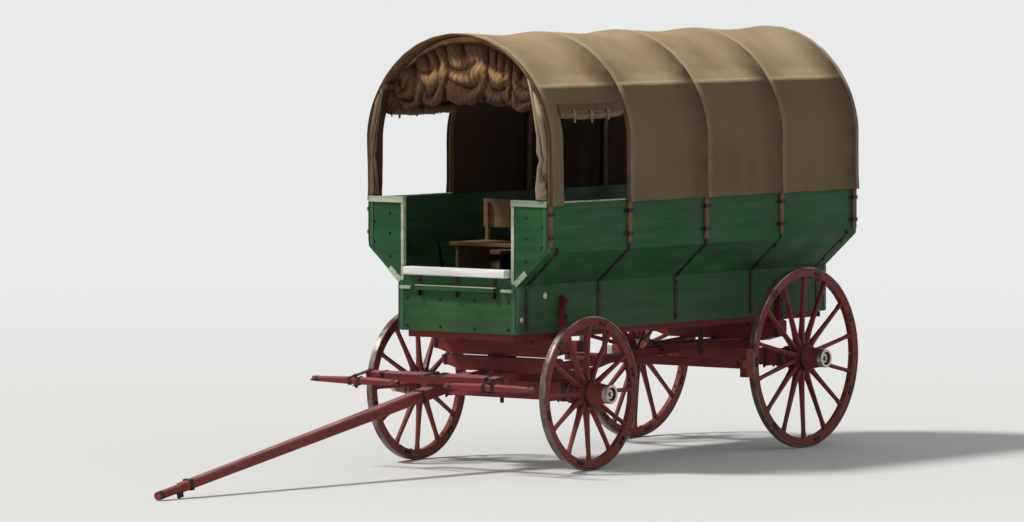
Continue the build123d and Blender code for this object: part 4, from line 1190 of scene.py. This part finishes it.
def box_trim():
    """Pale caps and corner strips that finish the box, painted and worn by hands, and pale partly as a
    painted highlight on their tops and edges.
    """
    bm = new_solid()
    blocks = [
        # inner x, outer x, front y, rear y, low z, high z, easing
        # Caps on the end panels, each with a lip down its outer face
        (0.474, 0.784, -0.012, 0.028, UPPER_TOP + GAP, UPPER_TOP + 0.018, 0.003),
        (0.474, 0.784, -0.012, -0.0005, UPPER_TOP - 0.024, UPPER_TOP + 0.001, 0.003),
        (0.474, 0.784, 3.630, 3.670, UPPER_TOP + GAP, UPPER_TOP + 0.018, 0.003),
        (0.474, 0.784, 3.6585, 3.670, UPPER_TOP - 0.024, UPPER_TOP + 0.001, 0.003),
        # The sill of the window
        (0.760, 0.788, 0.052, 0.902, UPPER_TOP + GAP, UPPER_TOP + 0.010, 0.003),
        # Strips up the inner edge of the front panel
        (0.474, 0.4978, -0.006, 0.024, 1.400, UPPER_TOP, 0.003),
        (0.474, 0.4978, -0.007, 0.024, 1.296, 1.3995, 0.003),
        # A cleat beside the front board's ledge
        (0.400, 0.492, -0.030, -0.0005, 1.240, 1.262, 0.004),
    ]
    for inner, outer, front, rear, low, high, easing in blocks:
        add_block(bm, (inner, behind(front), low), (outer, behind(rear), high), easing)
    slant = [(0.505, behind(0.0), 1.296), (0.600, behind(0.0), 1.3805)]
    add_strip(bm, slant, (-0.026, 0, 0.029), 0.006, (0, -1, 0))
    both_sides(bm)
    # The pale top of the ledge, a painted highlight where light falls on it
    add_block(bm, (-0.347, behind(-0.043), 1.2663), (0.347, behind(-0.0008), 1.2725), 0.002)
    lay_grain(bm, (0, 1, 2))
    finish_piece("box_trim", bm, "wagon", [pale_green_worn_and_lit])


def box_corner_strips():
    """Thin painted irons round the upright corners of the box's lower and upper sides."""
    bm = new_solid()
    for end, out, lower_x, lower_width in ((0.0, -1, 0.492, 0.030), (BOX_LENGTH, 1, 0.5095, 0.019)):
        for x, width, low, high in ((lower_x, lower_width, 0.957, 1.290), (0.762, 0.0255, 1.529, 1.838)):
            path = [(x, behind(end), low), (x, behind(end), high)]
            add_strip(bm, path, (width, 0, 0), EDGE_IRON, (0, out, 0))
        front, rear = behind(end + out * EDGE_IRON), behind(end - out * 0.028)
        for x, low, high in ((HALF_LOWER, 0.957, 1.282), (HALF_UPPER, 1.526, 1.838)):
            add_block(bm, (x, front, low), (x + EDGE_IRON, rear, high), 0.0008)
    both_sides(bm)
    lay_grain(bm, (2, 0, 1))
    finish_piece("box_corner_strips", bm, "wagon", [green_iron])


def side_straps(bm):
    """Strap irons that rise up a side and over its flare, with their bolts."""
    rise = [
        (HALF_LOWER + GAP, 0.972), (HALF_LOWER + GAP, LOWER_TOP + 0.0005),
        (HALF_UPPER + GAP, FLARE_TOP + 0.0005), (HALF_UPPER + GAP, 1.552)]
    for centre in map(behind, STRAP_PLACES):
        add_strip(bm, [(x, centre, z) for x, z in rise], (0, 0.034, 0), 0.005, (1, 0, 0))
        for x, z in ((0.5265, 1.005), (0.5265, 1.235), (0.7915, 1.537)):
            add_bolt(bm, (x, centre, z), (1, 0, 0), 0.009)
        for share in (0.2, 0.8):
            place = (0.5259 + 0.265 * share, centre, 1.2783 + 0.235 * share)
            add_bolt(bm, place, FLARE_OUT, 0.008)


def bow_loops(bm):
    """The iron loops that hold the bows' legs to the upper side, two to a bow."""
    inner, outer = HALF_UPPER + GAP, 0.8033
    for y in BOWS:
        centre = behind(y)
        for z in (1.625, 1.785):
            low, high = z - 0.013, z + 0.013
            add_block(bm, (0.7993, centre - 0.0275, low), (outer, centre + 0.0275, high), 0.001)
            for out in (-1, 1):
                near, far = centre + out * 0.0233, centre + out * 0.0275
                add_block(bm, (inner, near, low), (outer, far, high), 0.001)
                # A bolted ear on either side, but for those that would reach past the box's ends
                if 0.004 < y + out * 0.056 < BOX_LENGTH - 0.004:
                    near, far = centre + out * 0.0270, centre + out * 0.0560
                    add_block(bm, (inner, near, low), (0.7890, far, high), 0.001)
                    add_bolt(bm, (0.7900, centre + out * 0.042, z), (1, 0, 0), 0.006)


def box_irons():
    """Strap irons up the sides, loops round the bows' legs, and small fittings at the ends."""
    bm = bmesh.new()
    side_straps(bm)
    bow_loops(bm)
    panel_bolts = (
        (0.535, 1.34), (0.60, 1.46), (0.60, 1.62), (0.60, 1.76), (0.74, 1.56), (0.74, 1.70), (0.74, 1.84))
    for x, z in panel_bolts:
        for y, out in ((-0.0008, -1), (BOX_LENGTH + 0.0008, 1)):
            add_bolt(bm, (x, behind(y), z), (0, out, 0), 0.007)
    both_sides(bm)
    # Clips on the front board, above and below its ledge
    for x in (-0.33, 0.0, 0.33):
        add_block(bm, (x - 0.016, behind(-0.0042), 1.275), (x + 0.016, behind(-GAP), 1.338), 0.001)
        add_bolt(bm, (x, behind(-0.005), 1.305), (0, -1, 0), 0.007)
        add_block(bm, (x - 0.012, behind(-0.036), 1.196), (x + 0.012, behind(-GAP), 1.2375), 0.004)
    for x in (-0.445, -0.15, 0.15, 0.445):
        for z in (0.985, 1.175):
            add_bolt(bm, (x, behind(-0.0010), z), (0, -1, 0), 0.008)
    finish_piece("box_irons", bm, "wagon", [black_iron])


def bright_bolts():
    """The four polished bolt heads near the front of the box that catch the light."""
    bm = bmesh.new()
    for y, z in ((0.314, 1.209), (0.050, 1.052)):
        add_bolt(bm, (0.5225, behind(y), z), (1, 0, 0), 0.014)
    both_sides(bm)
    finish_piece("bright_bolts", bm, "wagon", [bright_steel])


def tailgate_irons():
    """Straps with their bolts, and an eye near each upper corner."""
    bm = bmesh.new()
    rear = behind(BOX_LENGTH)
    add_block(bm, (0.2765, rear + 0.0075, 0.962), (0.3235, rear + 0.0105, 1.388), 0.0015)
    for z in (1.02, 1.14, 1.26, 1.36):
        add_bolt(bm, (0.30, rear + 0.0118, z), (0, 1, 0), 0.008)
    add_block(bm, (0.415, rear + GAP, 1.335), (0.475, rear + 0.0050, 1.395), 0.0015)
    add_ring(bm, (0.445, rear + 0.012, 1.365), (1, 0, 0), 0.014, 0.004)
    both_sides(bm)
    finish_piece("tailgate_irons", bm, "tailgate", [black_iron])


def tailgate_battens():
    """Two upright battens that hold the tailgate's boards together."""
    bm = new_solid()
    rear = behind(BOX_LENGTH)
    add_block(bm, (0.085, rear + GAP, 0.985), (0.155, rear + 0.018, 1.405), 0.003)
    both_sides(bm)
    lay_grain(bm, (2, 0, 1))
    finish_piece("tailgate_battens", bm, "tailgate", [green_paint])


box_trim()
box_corner_strips()
box_irons()
bright_bolts()
tailgate_irons()
tailgate_battens()


# Running gear irons, made on the left side and mirrored
def beam_faces(y):
    """The front and rear faces of an axle beam, bolster or sand board."""
    return behind(y) - BEAM_HALF_DEPTH, behind(y) + BEAM_HALF_DEPTH


def axle_irons(bm, y, z, drop):
    """A band at an axle beam's end, and the clip that binds the arm to the beam, which sits a drop low."""
    front, rear = beam_faces(y)
    low, high = z - drop - BEAM_HALF_HEIGHT, z - drop + BEAM_HALF_HEIGHT
    add_band(bm, (0.556, front, low), (0.590, rear, high), 0)
    add_band(bm, (0.440, front, low), (0.462, rear, high), 0, 0.007)
    for nut_y in (front - 0.0075, rear + 0.0075):
        add_nut(bm, (0.451, nut_y, low - 0.007), (0, 0, -1), 0.009, 0.009)


def bolster_irons(bm, y, underside):
    """A band near a bolster's end, and a plate down the outer face of its stake."""
    front, rear = beam_faces(y)
    add_band(bm, (0.534, front, underside + 0.034), (0.562, rear, SILL_UNDERSIDE), 0)
    add_block(bm, (0.5653, behind(y) - 0.020, 0.915), (0.5690, behind(y) + 0.020, 1.194), 0.001)
    for z in (0.945, 1.055, 1.165):
        add_bolt(bm, (0.570, behind(y), z), (1, 0, 0), 0.008)
    for face, out in ((front - 0.0008, -1), (rear + 0.0008, 1)):
        add_bolt(bm, (0.30, face, 0.868), (0, out, 0), 0.009)


def add_rub_plate(bm, low_z):
    """One of the two iron rings about the kingbolt that slide on each other when the wagon turns."""
    ring = add_turned(bm, chamfered(low_z, low_z + 0.0052, 0.030, 0.1012, 0.0008), 40)
    lie_flat = Matrix.Translation((0, behind(FRONT_AXLE), 0)) @ Matrix.Rotation(-math.pi / 2, 4, "Y")
    bmesh.ops.transform(bm, matrix=lie_flat, verts=ring)


def gear_irons_of_wagon():
    """Irons of the rear axle, the bolsters, the brake beam and the rear hounds."""
    bm = bmesh.new()
    axle_irons(bm, REAR_AXLE, REAR_HUB_Z, 0.005)
    bolster_irons(bm, FRONT_AXLE, 0.767)
    bolster_irons(bm, REAR_AXLE, 0.761)
    # A plate on the brake beam's hanger, and a band and a bolt on its block
    add_block(bm, (0.408, behind(2.2474), 0.700), (0.452, behind(2.2482), 0.890), 0.0003)
    inner_front = (TRACK_HALF - 0.030, behind(2.257), 0.618)
    add_band(bm, inner_front, (TRACK_HALF + 0.030, behind(2.310), 0.662), 1, 0.003)
    add_bolt(bm, (TRACK_HALF, behind(2.255), 0.640), (0, -1, 0), 0.010)
    both_sides(bm)
    add_rub_plate(bm, 0.7616)
    for y in (2.36, 2.62, 2.98):
        add_bolt(bm, (0, behind(y), 0.7625), (0, 0, 1), 0.009)
    finish_piece("running_gear_irons", bm, "wagon", [black_iron])


def gear_irons_of_front():
    """Irons of the front axle, the sand board and the front hounds."""
    bm = bmesh.new()
    axle_irons(bm, FRONT_AXLE, FRONT_HUB_Z, 0.0)
    front, rear = beam_faces(FRONT_AXLE)
    add_band(bm, (0.452, front, 0.6885), (0.480, rear, 0.755), 0)
    for y in (0.012, 0.150):
        add_band(bm, (0.052, behind(y) - 0.014, 0.595), (0.104, behind(y) + 0.014, 0.655), 1)
    for x, y in ((0.144, 0.46), (0.160, 0.54), (0.31, 0.935)):
        add_bolt(bm, (x, behind(y), 0.6558), (0, 0, 1), 0.010)
    both_sides(bm)
    add_rub_plate(bm, 0.7553)
    finish_piece("front_gear_irons", bm, "front_gear", [black_iron])


def let_down(bm):
    """Places what was made level, about the tongue's pivot, where the tongue lies."""
    pivot = Matrix.Translation((0, behind(TONGUE_PIVOT[0]), TONGUE_PIVOT[1]))
    bmesh.ops.transform(bm, matrix=pivot @ Matrix.Rotation(TONGUE_SLOPE, 4, "X"), verts=bm.verts)


def pole_irons():
    """Bands on the tongue, its wear plate under the doubletree, the yoke stop and the tip's ferrule."""
    bm = bmesh.new()
    for y in (-0.13, -0.52):
        add_band(bm, (-0.047, y - 0.016, -0.038), (0.047, y + 0.016, 0.038), 1)
    add_block(bm, (-0.0475, -0.40, 0.0383), (0.0475, -0.20, 0.0425), 0.0015)
    add_band(bm, (-0.0325, -2.995, -0.0325), (0.0325, -2.965, 0.0325), 1)
    tip = Matrix.Translation((0, -3.276, 0)) @ Matrix.Rotation(math.pi / 2, 4, "X")
    add_ferrule(bm, 28, 0.0300, 0.0300, 0.034, tip)
    add_block(bm, (-0.010, -3.10, -0.066), (0.010, -3.05, -0.0295), 0.004)
    add_block(bm, (-0.012, -3.11, -0.0340), (0.012, -2.99, -0.0293), 0.001)
    let_down(bm)
    finish_piece("tongue_irons", bm, "pole", [black_iron])


def doubletree_irons():
    """Clips that hold the singletrees, a band beside each, and a plate on either side of the pin."""
    bm = bmesh.new()
    low, high = 0.044, 0.104
    for z in (low - 0.0083, high + 0.0002):
        add_block(bm, (SINGLETREE_X - 0.021, -0.4825, z), (SINGLETREE_X + 0.021, -0.284, z + 0.0088), 0.003)
    add_band(bm, (0.448, -0.335, low), (0.472, -0.265, high), 0, 0.003)
    for y in (-0.300, SINGLETREE_Y):
        add_bolt(bm, (SINGLETREE_X, y, high + 0.010), (0, 0, 1), 0.011)
    add_nut(bm, (SINGLETREE_X, SINGLETREE_Y, low - 0.009), (0, 0, -1), 0.011, 0.010)
    add_block(bm, (0.027, -0.348, high + GAP), (0.075, -0.252, high + 0.0045), 0.001)
    both_sides(bm)
    let_down(bm)
    finish_piece("doubletree_irons", bm, "evener", [black_iron])


def singletree_irons(name, body, side):
    """Ferrules and eyes at a singletree's ends, and bands about its middle."""
    bm = bmesh.new()
    end = Matrix.Translation((0.345, SINGLETREE_Y, 0.074)) @ Matrix.Rotation(math.pi / 2, 4, "Y")
    add_ferrule(bm, 24, 0.0215, 0.0195, 0.030, end)
    add_ring(bm, (0.359, -0.495, 0.074), (0, 0, 1), 0.0135, 0.0052)
    add_band(bm, (0.026, -0.489, 0.050), (0.052, -0.441, 0.098), 0, 0.003)
    both_sides(bm)
    bmesh.ops.translate(bm, vec=(side * SINGLETREE_X, 0, 0), verts=bm.verts)
    let_down(bm)
    finish_piece(name, bm, body, [black_iron])


gear_irons_of_wagon()
gear_irons_of_front()
pole_irons()
doubletree_irons()
singletree_irons("left_singletree_irons", "left_swingle", 1)
singletree_irons("right_singletree_irons", "right_swingle", -1)


# Floor, light and camera
PALE_AIR = "#E9EAEA"
VIEW_AZIMUTH = 38.0
VIEW_ELEVATION = 3.0
VIEW_DISTANCE = 48.0
VIEW_WIDTH = 7.15
VIEW_CENTRE = (0.0, 0.36, 1.42)
SENSOR_WIDTH = 0.036


def seen_rays(tree):
    """1 where the camera, a gloss or glass looks, and 0 where light is gathered."""
    camera = add(tree, "LightPath", output="Is Camera Ray")
    gloss, glass = [camera.node.outputs[name] for name in ("Is Glossy Ray", "Is Transmission Ray")]
    seen = add(tree, "Math", {0: camera, 1: gloss}, operation="MAXIMUM")
    return add(tree, "Math", {0: seen, 1: glass}, operation="MAXIMUM")


def studio_floor(radius):
    """A wide pale floor that turns into the same even paleness as the air far from the wagon."""
    bm = bmesh.new()
    bmesh.ops.create_circle(bm, cap_ends=True, segments=96, radius=radius)
    mesh = mesh_from("studio_floor", bm)
    material, tree, shader = start_material("pale_studio_floor")
    shader.inputs["Base Color"].default_value = srgb("#DEDDD9")
    shader.inputs["Roughness"].default_value = 0.9
    place = add(tree, "TexCoord", output="Object")
    away = add(tree, "VectorMath", {0: place}, "Value", operation="LENGTH")
    far = add(
        tree, "MapRange", {"Value": away, "From Min": 5.0, "From Max": 26.0}, interpolation_type="SMOOTHSTEP")
    share = add(tree, "Math", {0: far, 1: seen_rays(tree)}, operation="MULTIPLY")
    air = add(tree, "Emission", {"Color": srgb(PALE_AIR), "Strength": 1.0})
    mixed = add(tree, "MixShader", {0: share, 1: shader.outputs[0], 2: air})
    tree.links.new(mixed, tree.nodes["Material Output"].inputs["Surface"])
    mesh.materials.append(material)
    put_in_scene("studio_floor", mesh)


def studio_world(strength):
    """Even pale light; where the camera or a gloss sees it, it is as pale as paper."""
    world = bpy.data.worlds.new("studio_world")
    world.use_nodes = True
    tree = world.node_tree
    light = add(tree, "Background", {"Color": srgb("#F4F6FA"), "Strength": strength})
    shown = add(tree, "Background", {"Color": srgb(PALE_AIR), "Strength": 1.0})
    mixed = add(tree, "MixShader", {0: seen_rays(tree), 1: light, 2: shown})
    tree.links.new(mixed, tree.nodes["World Output"].inputs["Surface"])
    scene.world = world


def way_to(azimuth, elevation):
    """The way from the wagon to the side: azimuth 0 is ahead of it and 90 is on its left."""
    a, e = math.radians(azimuth), math.radians(elevation)
    return Vector((math.sin(a) * math.cos(e), -math.cos(a) * math.cos(e), math.sin(e)))


def sun(name, azimuth, elevation, strength, softness):
    """A lamp whose light comes from the given side."""
    light = bpy.data.lights.new(name, "SUN")
    light.energy = strength
    light.angle = math.radians(softness)
    lamp = put_in_scene(name, light)
    lamp.rotation_euler = way_to(azimuth, elevation).to_track_quat("Z", "Y").to_euler()
    lamp.location = way_to(azimuth, elevation) * 12


def place_camera():
    data = bpy.data.cameras.new("camera")
    data.lens = 1000 * SENSOR_WIDTH * VIEW_DISTANCE / VIEW_WIDTH
    data.clip_end = 200
    camera = put_in_scene("camera", data)
    back = way_to(VIEW_AZIMUTH, VIEW_ELEVATION)
    camera.location = Vector(VIEW_CENTRE) + back * VIEW_DISTANCE
    camera.rotation_euler = back.to_track_quat("Z", "Y").to_euler()
    scene.camera = camera


studio_floor(90.0)
studio_world(0.40)
sun("key_light", -50.0, 52.0, 2.7, 9.0)
place_camera()
scene.view_settings.view_transform = "Standard"
